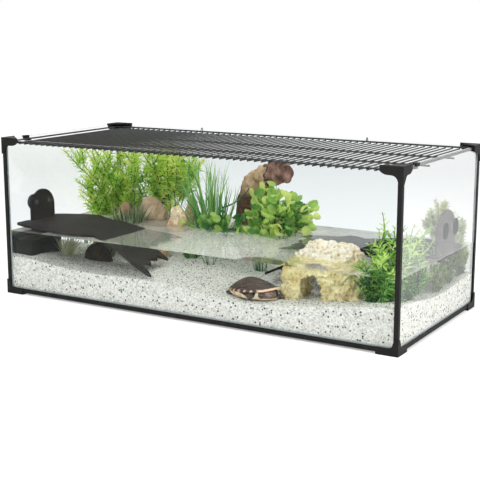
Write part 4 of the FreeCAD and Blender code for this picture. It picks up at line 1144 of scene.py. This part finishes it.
# %% [markdown]
# ## The tall feathery plant
#
# It stands in two bunches at the back left and reaches up to the lid. The left one spreads to the wall and is
# leafy nearly down to the gravel, while the right one has bare stalks up to its middle.

# %% Feathery plant
feather_left = [(-0.465, -0.040, 0.323), (-0.473, 0.000, 0.316), (-0.462, 0.040, 0.320), (-0.425, 0.030, 0.322),
                (-0.462, 0.085, 0.308), (-0.443, 0.100, 0.318), (-0.423, 0.120, 0.322), (-0.474, 0.045, 0.232),
                (-0.470, 0.060, 0.168), (-0.383, 0.140, 0.322), (-0.392, 0.075, 0.262), (-0.405, 0.100, 0.205),
                (-0.330, 0.060, 0.322), (-0.372, 0.110, 0.322), (-0.343, 0.150, 0.318), (-0.472, 0.030, 0.200),
                (-0.468, 0.040, 0.180), (-0.474, 0.016, 0.244), (-0.470, 0.022, 0.218), (-0.466, 0.046, 0.166)]
feather_right = [(-0.300, 0.090, 0.322), (-0.330, 0.130, 0.270), (-0.283, 0.150, 0.228), (-0.276, 0.120, 0.322),
                 (-0.322, 0.170, 0.322), (-0.252, 0.140, 0.320), (-0.217, 0.100, 0.318), (-0.238, 0.150, 0.278),
                 (-0.190, 0.125, 0.312), (-0.205, 0.160, 0.300), (-0.335, 0.160, 0.225)]
leafy_plant("feathery_sprays", [(-0.396, 0.150, feather_left), (-0.286, 0.162, feather_right, 0.55)], feather_whorl,
            feather_leaf, 0.0092, ["feathery_plant"], first=0.24, seed=11, tone=0.42,
            side=(7, (0.22, 0.92), (0.022, 0.046), (0.025, 0.060)))

# %% [markdown]
# ## The fine-leaved bushes on the right
#
# One bush with lance-shaped leaves fills the front right corner, above and below the water. A dimmer one with
# needles stands in the back corner, and two low ones stand under the platform. They are the same kind of plant
# to the script: only the tips, the ring and the colours differ.

# %% Bushes
front_tips = [(0.428, -0.150, 0.267), (0.452, -0.140, 0.238), (0.410, -0.120, 0.226), (0.448, -0.092, 0.232),
              (0.404, -0.156, 0.206), (0.472, -0.118, 0.214), (0.404, -0.186, 0.172), (0.446, -0.190, 0.176),
              (0.384, -0.126, 0.160), (0.420, -0.130, 0.196), (0.432, -0.172, 0.205), (0.376, -0.160, 0.146),
              (0.466, -0.180, 0.155), (0.462, -0.070, 0.196), (0.392, -0.140, 0.124), (0.400, -0.178, 0.118)]
side_tips = [(0.474, -0.100, 0.240), (0.472, -0.066, 0.224), (0.474, -0.024, 0.218), (0.470, 0.008, 0.220),
             (0.474, 0.036, 0.188), (0.470, -0.034, 0.192), (0.474, -0.080, 0.200), (0.472, 0.020, 0.156),
             (0.474, -0.046, 0.154), (0.470, -0.088, 0.166), (0.472, -0.010, 0.126), (0.470, -0.060, 0.118),
             (0.474, 0.030, 0.128), (0.470, -0.110, 0.130)]
corner_tips = [(0.440, 0.075, 0.238), (0.446, 0.100, 0.250), (0.432, 0.120, 0.252), (0.450, 0.130, 0.246),
               (0.440, 0.150, 0.240), (0.428, 0.090, 0.228), (0.455, 0.115, 0.232), (0.445, 0.165, 0.226),
               (0.436, 0.062, 0.222), (0.474, 0.160, 0.204), (0.470, 0.185, 0.206), (0.474, 0.196, 0.190),
               (0.474, 0.188, 0.176), (0.474, 0.196, 0.150), (0.470, 0.170, 0.150), (0.474, 0.150, 0.170),
               (0.468, 0.190, 0.130), (0.472, 0.160, 0.118), (0.452, 0.196, 0.150), (0.420, 0.180, 0.200)]


def ring_of_tips(x, y, level):
    """Tips of short stems in a ring and one in the middle."""
    return [(x + 0.028 * math.cos(math.tau * k / 7), y + 0.028 * math.sin(math.tau * k / 7), level - 0.006 * (k % 3))
            for k in range(7)] + [(x, y, level)]


leafy_plant("front_bush", [(0.430, -0.132, front_tips + side_tips)], lance_whorl, bush_leaf, 0.0108,
            ["fine_leaf_plant"], first=0.05, seed=23, tone=0.40, sink=0.24,
            side=(3, (0.2, 0.85), (0.012, 0.028), (0.012, 0.032)))
leafy_plant("corner_bush", [(0.440, 0.180, corner_tips)], needle_whorl, dim_leaf, 0.0075,
            ["corner_plant"], first=0.05, seed=31, tone=0.45, sink=0.20,
            side=(5, (0.2, 0.92), (0.012, 0.026), (0.010, 0.030)))
leafy_plant("bottom_bush", [(0.440, 0.104, ring_of_tips(0.440, 0.112, 0.140)),
                            (0.446, 0.034, ring_of_tips(0.446, 0.036, 0.136))], needle_whorl, dim_leaf, 0.0075,
            ["bottom_plant"], first=0.02, seed=37, tone=0.26,
            side=(3, (0.2, 0.9), (0.016, 0.030), (0.005, 0.022)))

# %% [markdown]
# ## Blades
#
# Grass, the grey rosette and the pale tuft are bunches of long blades. A blade rises from the clump's foot and
# bows over to its tip, widest in its lower third and drawn out to a point, with a crease down its middle that
# catches the light. Blades bend each in its own way, so they are built one by one instead of copied.

# %% Blades from one foot


def ribbon_plant(name, middle, blades, widths, material, replaced, seed, root_reach, steps=12, tone=0.4):
    """Long narrow blades that rise from one foot and bow over: (tip, lift)."""
    rng = random.Random(seed)
    points, faces, tones = [], [], []
    for tip, lift in blades:
        tip = Vector(tip)
        base = rooted(middle[0], middle[1], tip, root_reach, rng)
        sway = Vector((rng.uniform(-0.5, 0.5), rng.uniform(-0.5, 0.5), 1.0)) * lift
        line = route(base, tip, sway, steps=steps)
        flat = Vector((tip.x - base.x, tip.y - base.y, 0))
        side = Vector((-flat.y, flat.x, 0)).normalized() if flat.length > 0.004 else Vector((0, 1, 0))
        side = Matrix.Rotation(rng.uniform(-0.9, 0.9), 3, "Z") @ side
        width = rng.uniform(*widths)
        blade_tone = tone + rng.uniform(-0.35, 0.35)
        first_point = len(points)
        for k, place in enumerate(line):
            share = k / steps
            half = width / 2 * (1 - share ** 2.5) * min(1.0, 0.55 + share * 3)
            way = (line[min(k + 1, steps)] - line[max(k - 1, 0)]).normalized()
            crease = side.cross(way) * (half * 0.35)
            points += [place - side * half + crease, place - crease * 0.2, place + side * half + crease]
            tones += [blade_tone + 0.25 * share] * 3
        for k in range(steps):
            for c in (0, 1):
                a = first_point + k * 3 + c
                faces.append((a, a + 1, a + 4, a + 3))
    piece = mesh_object(name, points, faces, material)
    piece.data.attributes.new("tone", "FLOAT", "POINT").data.foreach_set("value", tones)
    return finish_piece(piece, replaced)


def fan_of_blades(tips, count, spread, seed, lift):
    """More blades round a few known tips."""
    rng = random.Random(seed)
    blades = [(tip, lift) for tip in tips]
    while len(blades) < count:
        tip = rng.choice(tips)
        near = Vector(tip) + Vector((rng.uniform(-1, 1), rng.uniform(-1, 1), rng.uniform(-1.4, 0.3))) * spread
        blades.append((inside_tank(near, 0.01), lift * rng.uniform(0.6, 1.3)))
    return blades

# %% [markdown]
# ## The grass clump
#
# Half of the clump stands upright behind the driftwood, and the other half arches over to the left. The tips of
# the longest blades were read off the photograph, and the rest fan out round them.

# %% Grass
grass_upright = [(-0.112, 0.090, 0.318), (-0.098, 0.100, 0.306), (-0.128, 0.080, 0.300), (-0.085, 0.092, 0.286),
                 (-0.075, 0.084, 0.306), (-0.059, 0.084, 0.277), (-0.052, 0.090, 0.252), (-0.102, 0.070, 0.270),
                 (-0.120, 0.110, 0.290), (-0.092, 0.080, 0.250)]
grass_arching = [(-0.178, 0.084, 0.308), (-0.205, 0.090, 0.292), (-0.222, 0.096, 0.270), (-0.252, 0.084, 0.255),
                 (-0.258, 0.084, 0.234), (-0.214, 0.084, 0.206), (-0.190, 0.100, 0.250), (-0.160, 0.110, 0.306),
                 (-0.178, 0.060, 0.226), (-0.149, 0.084, 0.240)]
grass_blades = fan_of_blades(grass_upright, 62, 0.020, 41, 0.026) + fan_of_blades(grass_arching, 66, 0.024, 42, 0.050)
ribbon_plant("grass_clump", (-0.112, 0.084), grass_blades, (0.0024, 0.0046), grass_leaf, ["grass_plant"], 43,
             0.02)

# %% [markdown]
# ## The grey rosette and the pale tuft
#
# Both are short rings of blades. The rosette is grey-green and stands by the stones on the left, and the tuft is
# pale and grows under water in the platform's shade.

# %% Rosette and tuft


def rosette_tips(x, y, reach, level, count):
    """Blade tips in a ring."""
    return [(x + reach * math.cos(math.tau * k / count), y + reach * math.sin(math.tau * k / count),
             level - 0.009 * (k % 3)) for k in range(count)]


rosette_blades = fan_of_blades(rosette_tips(-0.322, 0.027, 0.044, 0.197, 13), 120, 0.016, 51, 0.012)
ribbon_plant("grey_rosette", (-0.322, 0.027), rosette_blades, (0.0042, 0.0064), grey_leaf, ["spiky_plant"],
             53, 0.008, steps=6, tone=0.16)
tuft_blades = fan_of_blades(rosette_tips(-0.392, -0.060, 0.033, 0.136, 11), 105, 0.015, 61, 0.010)
ribbon_plant("pale_tuft", (-0.402, -0.062), tuft_blades, (0.0020, 0.0030), pale_leaf, ["water_tuft"],
             63, 0.008, steps=6, tone=0.5)

# %% [markdown]
# ## Round leaves on stalks
#
# The broad-leaved plant and the low leaves beside it carry cupped round leaves with scalloped edges. Such a leaf
# is two rings of points round a middle one: every second point of the outer ring lies further out, and the
# outer ring is lifted, which makes the cup.

# %% A round leaf
leaf_rings, leaf_spokes = 2, 16


def round_leaf(name, size, cup):
    """A round, scalloped leaf with a cupped middle; it starts at the origin and grows along Z."""
    faces = []
    centre = Vector((0.0, 0.0, size * 0.5))
    points = [tuple(centre)]
    for r in range(1, leaf_rings + 1):
        for k in range(leaf_spokes):
            turn = math.tau * k / leaf_spokes
            share = r / leaf_rings
            scallop = 1.0 + (0.08 if k % 2 else -0.06) * (r == leaf_rings)
            reach = size * 0.5 * share * scallop
            lift = cup * share ** 2 * size * (1 + 0.3 * math.cos(2 * turn)) + (0.012 * size if k % 2 else 0.0)
            points.append((reach * math.cos(turn), lift, centre.z + reach * math.sin(turn)))
    for k in range(leaf_spokes):
        n = (k + 1) % leaf_spokes
        faces.append((0, 1 + n, 1 + k))
        for r in range(leaf_rings - 1):
            a, b = 1 + r * leaf_spokes, 1 + (r + 1) * leaf_spokes
            faces.append((a + k, a + n, b + n, b + k))
    return template(name, points, faces)


clover = round_leaf("clover_leaf", 0.023, 0.26)
print("faces in a round leaf:", len(clover.data.polygons))

# %% [markdown]
# ## Leaves on stalks
#
# The leaves' places fill a dome, and each leaf faces outwards and a little up. Every twelfth leaf has a stalk of
# its own from the gravel, and the others branch off the nearest one, as on the real plant.

# %% Leaves on stalks
stalk_radius = 0.0008
leaves_to_a_stalk = 12


def stalked_plant(name, middle, places, root_reach, replaced, seed, tone, sizes=(0.8, 1.25)):
    """Round leaves at the ends of thin stalks: places are where the leaves start."""
    rng = random.Random(seed)
    low, high = min(place[2] for place in places), max(place[2] for place in places)
    routes, spots, branches = [], [], []
    for k, place in enumerate(places):
        tip = inside_tank(Vector(place))
        if k % leaves_to_a_stalk == 0:
            line = route(rooted(middle[0], middle[1], tip, root_reach, rng), tip, Vector((0, 0, 0.008)), steps=8)
            branches.append(line)
        else:
            near = min(branches, key=lambda branch: (branch[-1] - tip).length)
            line = route(near[rng.choice((4, 5, 6))], tip, Vector((0, 0, 0.006)), steps=5)
        routes.append(line)
        out = Vector((tip.x - middle[0], tip.y - middle[1], 0))
        out = out.normalized() if out.length > 0.001 else Vector((0, -1, 0))
        way = (out + Vector((rng.uniform(-0.8, 0.8), rng.uniform(-0.8, 0.8), rng.uniform(0.1, 1.2)))).normalized()
        share = (place[2] - low) / (high - low)
        spots.append((tip, way, 1.0, tone + 0.25 * share + rng.uniform(-0.48, 0.42)))
    leaves = grow(name + "_leaves", spots, clover, broad_leaf, *sizes, seed)
    stems = stem_curve(name + "_stalks", routes, stalk_radius, grass_leaf, taper=0.2)
    return finish_piece(joined(name, [leaves, stems]), replaced)


def dome_of_places(middle, reach_x, reach_y, low, high, count, seed):
    """Leaf places all through a dome-shaped bush, but for its hollow core."""
    rng = random.Random(seed)
    places = []
    while len(places) < count:
        u, v, w = rng.uniform(-1, 1), rng.uniform(-1, 1), rng.uniform(0, 1)
        if u * u + v * v + (w * 0.9) ** 2 > 1.0 or u * u + v * v + w * w < 0.12:
            continue
        places.append((middle[0] + u * reach_x, middle[1] + v * reach_y, low + (high - low) * w))
    return places

# %% [markdown]
# ## The broad-leaved plant and the low leaves
#
# The large bush leans on the driftwood, with a few leaves that stand out of its dome. A low, darker row of the
# same leaves runs from it to the left, in front of the grass. Those single leaves were placed one by one.

# %% Broad and low leaves
broad_places = dome_of_places((0.060, 0.092), 0.074, 0.066, 0.142, 0.238, 205, 71)
broad_places += [(0.058, 0.092, 0.266), (0.018, 0.10, 0.240), (0.134, 0.10, 0.222), (0.142, 0.11, 0.206),
                 (0.148, 0.10, 0.190), (0.143, 0.09, 0.165), (0.000, 0.08, 0.226), (0.122, 0.09, 0.214),
                 (0.136, 0.08, 0.178), (0.128, 0.11, 0.196)]
stalked_plant("broad_leaf_bush", (0.070, 0.092), broad_places, 0.02, ["broad_leaf_plant"], 73, tone=0.42)
low_places = dome_of_places((-0.052, 0.050), 0.072, 0.026, 0.138, 0.182, 46, 81)
low_places += [(-0.130, 0.040, 0.150), (-0.120, 0.045, 0.142), (-0.105, 0.035, 0.146), (-0.150, 0.046, 0.148),
               (-0.143, 0.052, 0.158), (-0.134, 0.056, 0.168), (-0.118, 0.052, 0.160), (-0.108, 0.046, 0.170),
               (-0.152, 0.056, 0.154), (-0.126, 0.062, 0.150), (-0.098, 0.052, 0.156), (-0.164, 0.030, 0.158),
               (-0.052, 0.055, 0.166), (-0.041, 0.055, 0.182), (-0.030, 0.055, 0.158), (-0.047, 0.055, 0.146),
               (-0.064, 0.055, 0.186), (-0.022, 0.055, 0.180), (-0.058, 0.055, 0.153), (-0.036, 0.055, 0.140)]
stalked_plant("low_leaf_bush", (-0.048, 0.054), low_places, 0.01, ["low_leaf_plant"], 83, tone=0.15,
              sizes=(0.65, 0.95))

# %% [markdown]
# ## A thin twig
#
# A bare twig reaches from the grass to the driftwood. It is a bevelled curve like the stems, made on its own
# because no plant carries it.

# %% Twig
twig = route(Vector((-0.095, 0.100, 0.193)), Vector((-0.036, 0.127, 0.242)), Vector((0.006, 0, -0.006)), steps=8)
finish_piece(stem_curve("thin_twig", [twig], 0.0023, stem_bark, taper=0.4))

# %% [markdown]
# ## The turtle's shell plates
#
# A turtle's shell is an oval dome of horn plates that meet in fine grooves: a middle row, a row on each side, and
# a ring of small plates along the flared rim. It could be sculpted by hand, but the plates are so regular that a
# formula gives them. For each place on the shell's plan it says how far the nearest groove is.

# %% Shell sizes and grooves
turtle_low, turtle_high = low_high("turtle")
turtle_middle = (turtle_low + turtle_high) / 2
turtle_heading = math.radians(-12.0)
turtle_shift = Vector((0.008, 0.003, 0.0))
shell_length, shell_width, shell_height = 0.122, 0.090, 0.0425
rim_middle, rim_rise, rim_arch = 0.0180, 0.0050, 0.0050
margin_inside = 0.84
margin_plates = 24
middle_seams = (-0.62, -0.24, 0.14, 0.50)
side_seams = (-0.44, -0.05, 0.33)


def groove_gap(u, v):
    """How far a place on the shell's plan is from the nearest groove between plates."""
    out = math.hypot(u, v)
    gaps = [abs(out - margin_inside)]
    if out > margin_inside:
        turn = math.atan2(v, u) / math.tau * margin_plates
        gaps.append(abs(turn - round(turn)) * math.tau / margin_plates)
        return min(gaps)
    zigzag = 0.30 + 0.07 * abs(((u * 2.6 + 0.35) % 1.0) * 2 - 1)
    gaps.append(abs(abs(v) - zigzag))
    if abs(v) < zigzag:
        gaps += [abs(u - seam) for seam in middle_seams]
    else:
        gaps += [abs(u - seam * (0.8 + 0.5 * abs(v))) for seam in side_seams]
    return min(gaps)


print("gap to a groove at the top of the shell:", round(groove_gap(0.0, 0.0), 3))

# %% [markdown]
# ## Horn and skin
#
# The horn is brown with streaks that run along the shell, so its noise is stretched that way. The grooves are
# nearly black, and the rim carries cream and orange marks. The mesh knows where both are: each point carries a
# number named groove and one named mark, and the material mixes its colours by them.

# %% Horn and skin materials
streak_stretch = (0.25, 1.0, 1.0)
horn_colors = [(0.34, (0.010, 0.006, 0.005)), (0.50, (0.038, 0.017, 0.010)), (0.68, (0.14, 0.075, 0.045))]
groove_color = (0.012, 0.008, 0.007)
mark_color = (0.88, 0.60, 0.40)


def shell_material():
    """Streaked brown horn, nearly black in the grooves, with cream and orange marks along the rim."""
    material = new_material("shell", (0.12, 0.07, 0.045), 0.35, Coat_Weight=0.15, Coat_Roughness=0.2)
    tree, shader = parts_of(material)
    stretch = add_node(tree, "ShaderNodeMapping")
    stretch.inputs["Rotation"].default_value = (0, 0, -turtle_heading)
    stretch.inputs["Scale"].default_value = streak_stretch
    tree.links.new(object_place(tree), stretch.inputs["Vector"])
    streaks = cloud(tree, 230.0, 4.0, stretch.outputs[0])
    color = mix_color(tree, attribute(tree, "groove"), ramp(tree, streaks, horn_colors), groove_color)
    color = mix_color(tree, attribute(tree, "mark"), color, mark_color)
    tree.links.new(color, shader.inputs["Base Color"])
    add_relief(tree, streaks, 0.35, 0.0012)
    return material


def blotched(name, color, roughness, scale, low, high, pit_shade_and_highlight, pit_share, relief, depth):
    """Skin or pale horn with the mottle group; its pit colour is painted shade on the horn and painted highlights on
    the skin.
    """
    return use_group(new_material(name, color, roughness), mottle,
                     {"Scale": scale, "Low": low, "High": high, "Pit Shade And Highlight": pit_shade_and_highlight, "Pit Share": pit_share}, relief, depth)


shell_horn = shell_material()
belly_horn = blotched("belly_horn", (0.85, 0.72, 0.52), 0.45, 90.0, (0.66, 0.42, 0.24), (0.90, 0.80, 0.62),
                      (0.42, 0.22, 0.12), 0.4, 0.3, 0.001)
# Painted highlights: the pale pinkish pit colours of the skin and the head.
skin = blotched("turtle_skin", (0.04, 0.035, 0.03), 0.4, 170.0, (0.016, 0.018, 0.014), (0.085, 0.060, 0.050),
                (0.30, 0.16, 0.13), 0.35, 0.7, 0.0015)
head_skin = blotched("turtle_head", (0.2, 0.12, 0.1), 0.3, 110.0, (0.05, 0.032, 0.026), (0.40, 0.27, 0.23),
                     (0.80, 0.62, 0.55), 0.9, 0.6, 0.0015)
print("turtle materials:", [material.name for material in (shell_horn, belly_horn, skin, head_skin)])

# %% [markdown]
# ## Rings and ovals
#
# Both shells are made of rings. Every ring is the same oval, drawn in by a share, and neighbouring rings are
# joined by quads. The rim isn't level: it is low at the tail and arches over the head.

# %% Rings, ovals and the rim


def skinned(name, rings, material):
    """Rings of points, lowest first, skinned to a closed body."""
    sides = len(rings[0])
    points = [place for ring in rings for place in ring]
    faces = []
    for r in range(len(rings) - 1):
        for k in range(sides):
            n = (k + 1) % sides
            a, b = r * sides, (r + 1) * sides
            faces.append((a + k, a + n, b + n, b + k))
    faces.append(tuple(range(sides - 1, -1, -1)))
    faces.append(tuple((len(rings) - 1) * sides + k for k in range(sides)))
    return mesh_object(name, points, faces, material)


def oval(turn, share, height, pull=0.0):
    """A point of the turtle's plan: an oval, a little wider behind, drawn in or out by a share."""
    wide = 1.0 - 0.07 * math.cos(turn)
    return (shell_length / 2 * share * math.cos(turn) + pull, shell_width / 2 * share * wide * math.sin(turn), height)


def rim_height(turn):
    """Height of the shell's rim: low behind, high over the head."""
    return rim_middle + rim_rise * math.cos(turn) + rim_arch * max(0.0, math.cos(turn)) ** 4


def signed_degrees(turn):
    """An angle as degrees from the head, negative on the turtle's right."""
    return (math.degrees(turn) + 180.0) % 360.0 - 180.0


def rim_mark(turn):
    """Cream over the head and along the far front, orange teeth on the sides."""
    side = signed_degrees(turn)
    if -54.0 < side < 100.0:
        return 1.0
    return 0.8 * max(0.0, math.sin(margin_plates * turn)) ** 0.6 if abs(side) < 150.0 else 0.0


print("rim height at the head:", round(rim_height(0.0), 4), "and at the tail:", round(rim_height(math.pi), 4))

# %% [markdown]
# ## The dome
#
# The dome goes ring by ring from the rim's underside over its edge to the top. Each point sinks a little where a
# groove runs, so that grooves are real shape and catch the light, and the rim gets one small tooth for each
# plate. A ring is given by its share of the oval, its step from the rim's height, and its climb to the top.

# %% The shell's dome
shell_sides = 144
dome_steps = 22
rim_profile = [(0.90, -0.0030, 0.0), (0.985, -0.0036, 0.0), (1.02, -0.0020, 0.0), (0.995, 0.0004, 0.0)]
rim_rings = len(rim_profile)
rim_tooth = 0.010
groove_reach = 0.035
groove_depth = 0.0007


def shell_dome():
    """The carapace: a dome with grooves, flared and slightly toothed at its rim."""
    profile = list(rim_profile)
    for s in range(1, dome_steps + 1):
        share = 0.98 - 0.96 * s / dome_steps
        profile.append((share, 0.0, 1 - share ** 1.7))
    rings, groove, mark = [], [], []
    for level, (share, step, climb) in enumerate(profile):
        ring = []
        for k in range(shell_sides):
            turn = math.tau * k / shell_sides
            tooth = rim_tooth * math.cos(margin_plates * turn) if 0 < level < rim_rings else 0.0
            base = rim_height(turn)
            x, y, z = oval(turn, share + tooth, base + step + (shell_height - base) * climb, -0.006 * (1 - share))
            gap = groove_gap(share * math.cos(turn), share * math.sin(turn))
            cut = max(0.0, 1.0 - gap / groove_reach) if level >= rim_rings else 0.0
            ring.append((x, y, z - groove_depth * cut))
            groove.append(cut * 0.8)
            mark.append(rim_mark(turn) if level < rim_rings else 0.0)
        rings.append(ring)
    dome = skinned("shell_dome", rings, shell_horn)
    dome.data.attributes.new("groove", "FLOAT", "POINT").data.foreach_set("value", groove)
    dome.data.attributes.new("mark", "FLOAT", "POINT").data.foreach_set("value", mark)
    return dome


print("rings in the dome:", rim_rings + dome_steps)

# %% [markdown]
# ## The belly plate
#
# The pale belly plate is a shallow bowl. On each side it rises to the rim between the legs, and it stays low
# under the head and at the legs. One curve round the shell gives the height of its edge: it has four rises,
# each set by its angle from the head and its width in degrees.

# %% Belly plate
belly_posts = ((-58.0, 5.0), (-122.0, 32.0), (58.0, 5.0), (122.0, 32.0))
belly_profile = ((0.30, 0.0), (0.66, 0.0), (0.84, 0.10), (0.92, 0.40), (0.965, 0.85), (0.97, 1.0), (0.93, 0.98),
                 (0.88, 0.74), (0.78, 0.40), (0.60, 0.30))


def belly_height(turn):
    """Height of the belly plate's edge round the shell: up to the rim at the bridges, low at head and legs."""
    side = signed_degrees(turn)
    rise = max(math.exp(-((side - middle) / width) ** 4) for middle, width in belly_posts)
    return 0.0055 + (rim_height(turn) - 0.0090) * rise


def belly():
    """The belly plate, a shallow bowl whose edge rises to the rim at the bridges."""
    turns = [math.tau * k / shell_sides for k in range(shell_sides)]
    rings = [[oval(turn, share, belly_height(turn) * climb) for turn in turns] for share, climb in belly_profile]
    return skinned("shell_belly", rings, belly_horn)


print("belly edge at the bridge:", round(belly_height(math.radians(-122.0)), 4))

# %% [markdown]
# ## Head, legs and the whole turtle
#
# The turtle sits with its head and legs drawn in, and so only lumps of dark skin show between the two shells.
# Stretched balls with an uneven surface are enough for them. All parts are joined into one piece and moved to
# the turtle's place on the gravel inside the mesh, which leaves the object's origin where the frame has it.

# %% Put the turtle together
skin_lumps = 0.10


def ball(name, centre, radii, material, turn=0.0, tilt=0.0):
    """A stretched ball with an uneven skin."""
    bpy.ops.mesh.primitive_uv_sphere_add(segments=28, ring_count=18, radius=1.0)
    piece = bpy.context.active_object
    piece.name = name
    for vertex in piece.data.vertices:
        vertex.co *= 1.0 + skin_lumps * noise.noise(vertex.co * 2.3 + Vector(centre) * 90)
    shape = Matrix.Translation(Vector(centre)) @ Matrix.Rotation(turn, 4, "Z") @ Matrix.Rotation(tilt, 4, "Y")
    piece.data.transform(shape @ Matrix.Diagonal((*radii, 1.0)))
    piece.data.materials.append(material)
    smooth_faces(piece.data)
    return piece


def place_turtle(piece):
    """Move a piece modelled at the origin to the turtle's place, in its mesh."""
    spot = Matrix.Translation(Vector((turtle_middle.x, turtle_middle.y, turtle_low.z)) + turtle_shift)
    piece.data.transform(spot @ Matrix.Rotation(turtle_heading, 4, "Z"))
    return piece


def turtle():
    """Carapace, belly plate, and the skin, head and feet between them."""
    a, b, h = shell_length / 2, shell_width / 2, shell_height
    pieces = [shell_dome(), belly()]
    pieces.append(ball("body_skin", (-0.004, 0.0, h * 0.30), (a * 0.80, b * 0.84, h * 0.24), skin))
    pieces.append(ball("head", (a * 0.72, -b * 0.08, h * 0.30), (0.013, 0.023, 0.0090), head_skin, 0.15))
    for side in (-1, 1):
        pieces.append(ball("shoulder", (a * 0.60, side * b * 0.56, h * 0.27), (0.011, 0.009, 0.0075), skin,
                           side * 0.7))
        pieces.append(ball("side_leg", (a * 0.24, side * b * 0.86, h * 0.19), (0.0095, 0.0055, 0.0070), skin, 0.2))
        pieces.append(ball("hind_foot", (-a * 0.80, side * b * 0.50, h * 0.11), (0.011, 0.0060, 0.0048), skin,
                           -side * 0.5))
    pieces.append(ball("front_foot", (a * 0.96, b * 0.46, h * 0.14), (0.0085, 0.0060, 0.0056), skin, 0.6, 0.25))
    return place_turtle(joined("turtle_body", pieces))


finish_piece(turtle(), ["turtle"])

# %% [markdown]
# ## A white world
#
# The photograph shows the tank on plain white. A world at full white would light the tank too brightly from all
# sides, so the world's strength goes by the kind of ray. Camera rays, rays through glass and reflected rays see
# it white, and the light that falls on the tank stays softer.

# %% World
world_light = 0.70


def rays(tree, *kinds):
    """1 for rays of the given kinds, else 0."""
    path = add_node(tree, "ShaderNodeLightPath")
    seen = path.outputs[kinds[0]]
    for kind in kinds[1:]:
        seen = calculate(tree, "MAXIMUM", seen, path.outputs[kind])
    return seen


def white_world(strength):
    """A world that lights softly and looks white."""
    world = bpy.data.worlds.new("studio")
    bpy.context.scene.world = world
    world.use_nodes = True
    tree = world.node_tree
    light = tree.nodes["Background"]
    light.inputs["Color"].default_value = (1, 1, 1, 1)
    white = rays(tree, "Is Camera Ray", "Is Transmission Ray", "Is Glossy Ray")
    tree.links.new(share_between(tree, white, 0.0, 1.0, strength, 1.0), light.inputs["Strength"])


white_world(world_light)
print("world:", bpy.context.scene.world.name)

# %% [markdown]
# ## The floor
#
# The floor keeps the soft shadow under the tank, and melts into the white far behind it. It glows a little to the
# camera, more so with distance, which hides the line where floor and world meet.

# %% Floor
floor_size = 14.0
floor_near, floor_far = 2.4, 3.8
floor_glow_near, floor_glow_far = 0.30, 0.46


def floor():
    """A wide white floor that keeps the tank's soft shadow and stays white far behind it."""
    corners = [(-floor_size, -floor_size, 0), (floor_size, -floor_size, 0), (floor_size, floor_size, 0),
               (-floor_size, floor_size, 0)]
    material = new_material("floor_white", (0.82, 0.82, 0.82), 0.9)
    tree, shader = parts_of(material)
    shader.inputs["Emission Color"].default_value = (1, 1, 1, 1)
    away = add_node(tree, "ShaderNodeVectorMath", operation="LENGTH")
    tree.links.new(object_place(tree), away.inputs[0])
    glow = share_between(tree, away.outputs["Value"], floor_near, floor_far, floor_glow_near, floor_glow_far)
    lit = calculate(tree, "MULTIPLY", rays(tree, "Is Camera Ray", "Is Transmission Ray"), glow)
    tree.links.new(lit, shader.inputs["Emission Strength"])
    mesh_object("floor", corners, [(0, 1, 2, 3)], material)


floor()
print("floor:", 2 * floor_size, "m wide")

# %% [markdown]
# ## Lamps
#
# Three soft square lamps light the tank: a key lamp from the front, one from above, and one at the right end that
# lights the bushes through the side pane. Each has a place, a target, a size in metres and a power in watts.

# %% Lamps
lamps = {"key": ((-0.2, -2.2, 1.4), (0, 0, 0.15), 1.3, 30.0),
         "top": ((0.2, 0.2, 2.4), (0, 0, 0.15), 1.6, 18.0),
         "side": ((2.3, -0.35, 0.8), (0.3, 0, 0.12), 1.0, 29.0)}


def lamp(name, place, target, size, power):
    """A square soft lamp aimed at a target."""
    light = bpy.data.lights.new(name, "AREA")
    light.size = size
    light.energy = power
    piece = put_in_scene(bpy.data.objects.new(name, light))
    piece.location = place
    piece.rotation_euler = (Vector(target) - Vector(place)).to_track_quat("-Z", "Y").to_euler()


for name, (place, target, size, power) in lamps.items():
    lamp(name, place, target, size, power)
print("lamps:", list(lamps))

# %% [markdown]
# ## The camera
#
# The camera stands where the photographer stood. Its place and angles came out of a fit that laid the tank's eight
# outer corners on the same corners in the photograph, which also gave the focal length in pixels.

# %% Camera
lens_width = 36.0
picture_width = 480
focal_pixels = 1085.3
camera_place = (1.2646, -2.0949, 0.6364)
camera_yaw, camera_pitch = 30.85, -11.46


def camera():
    """The camera of the photograph."""
    data = bpy.data.cameras.new("camera")
    data.sensor_width = lens_width
    data.lens = focal_pixels * lens_width / picture_width
    piece = put_in_scene(bpy.data.objects.new("camera", data))
    piece.location = camera_place
    piece.rotation_euler = (math.radians(90 + camera_pitch), 0, math.radians(camera_yaw))
    bpy.context.scene.camera = piece


camera()
bpy.context.scene.view_settings.view_transform = "Standard"
print("lens:", round(bpy.context.scene.camera.data.lens, 2), "mm")
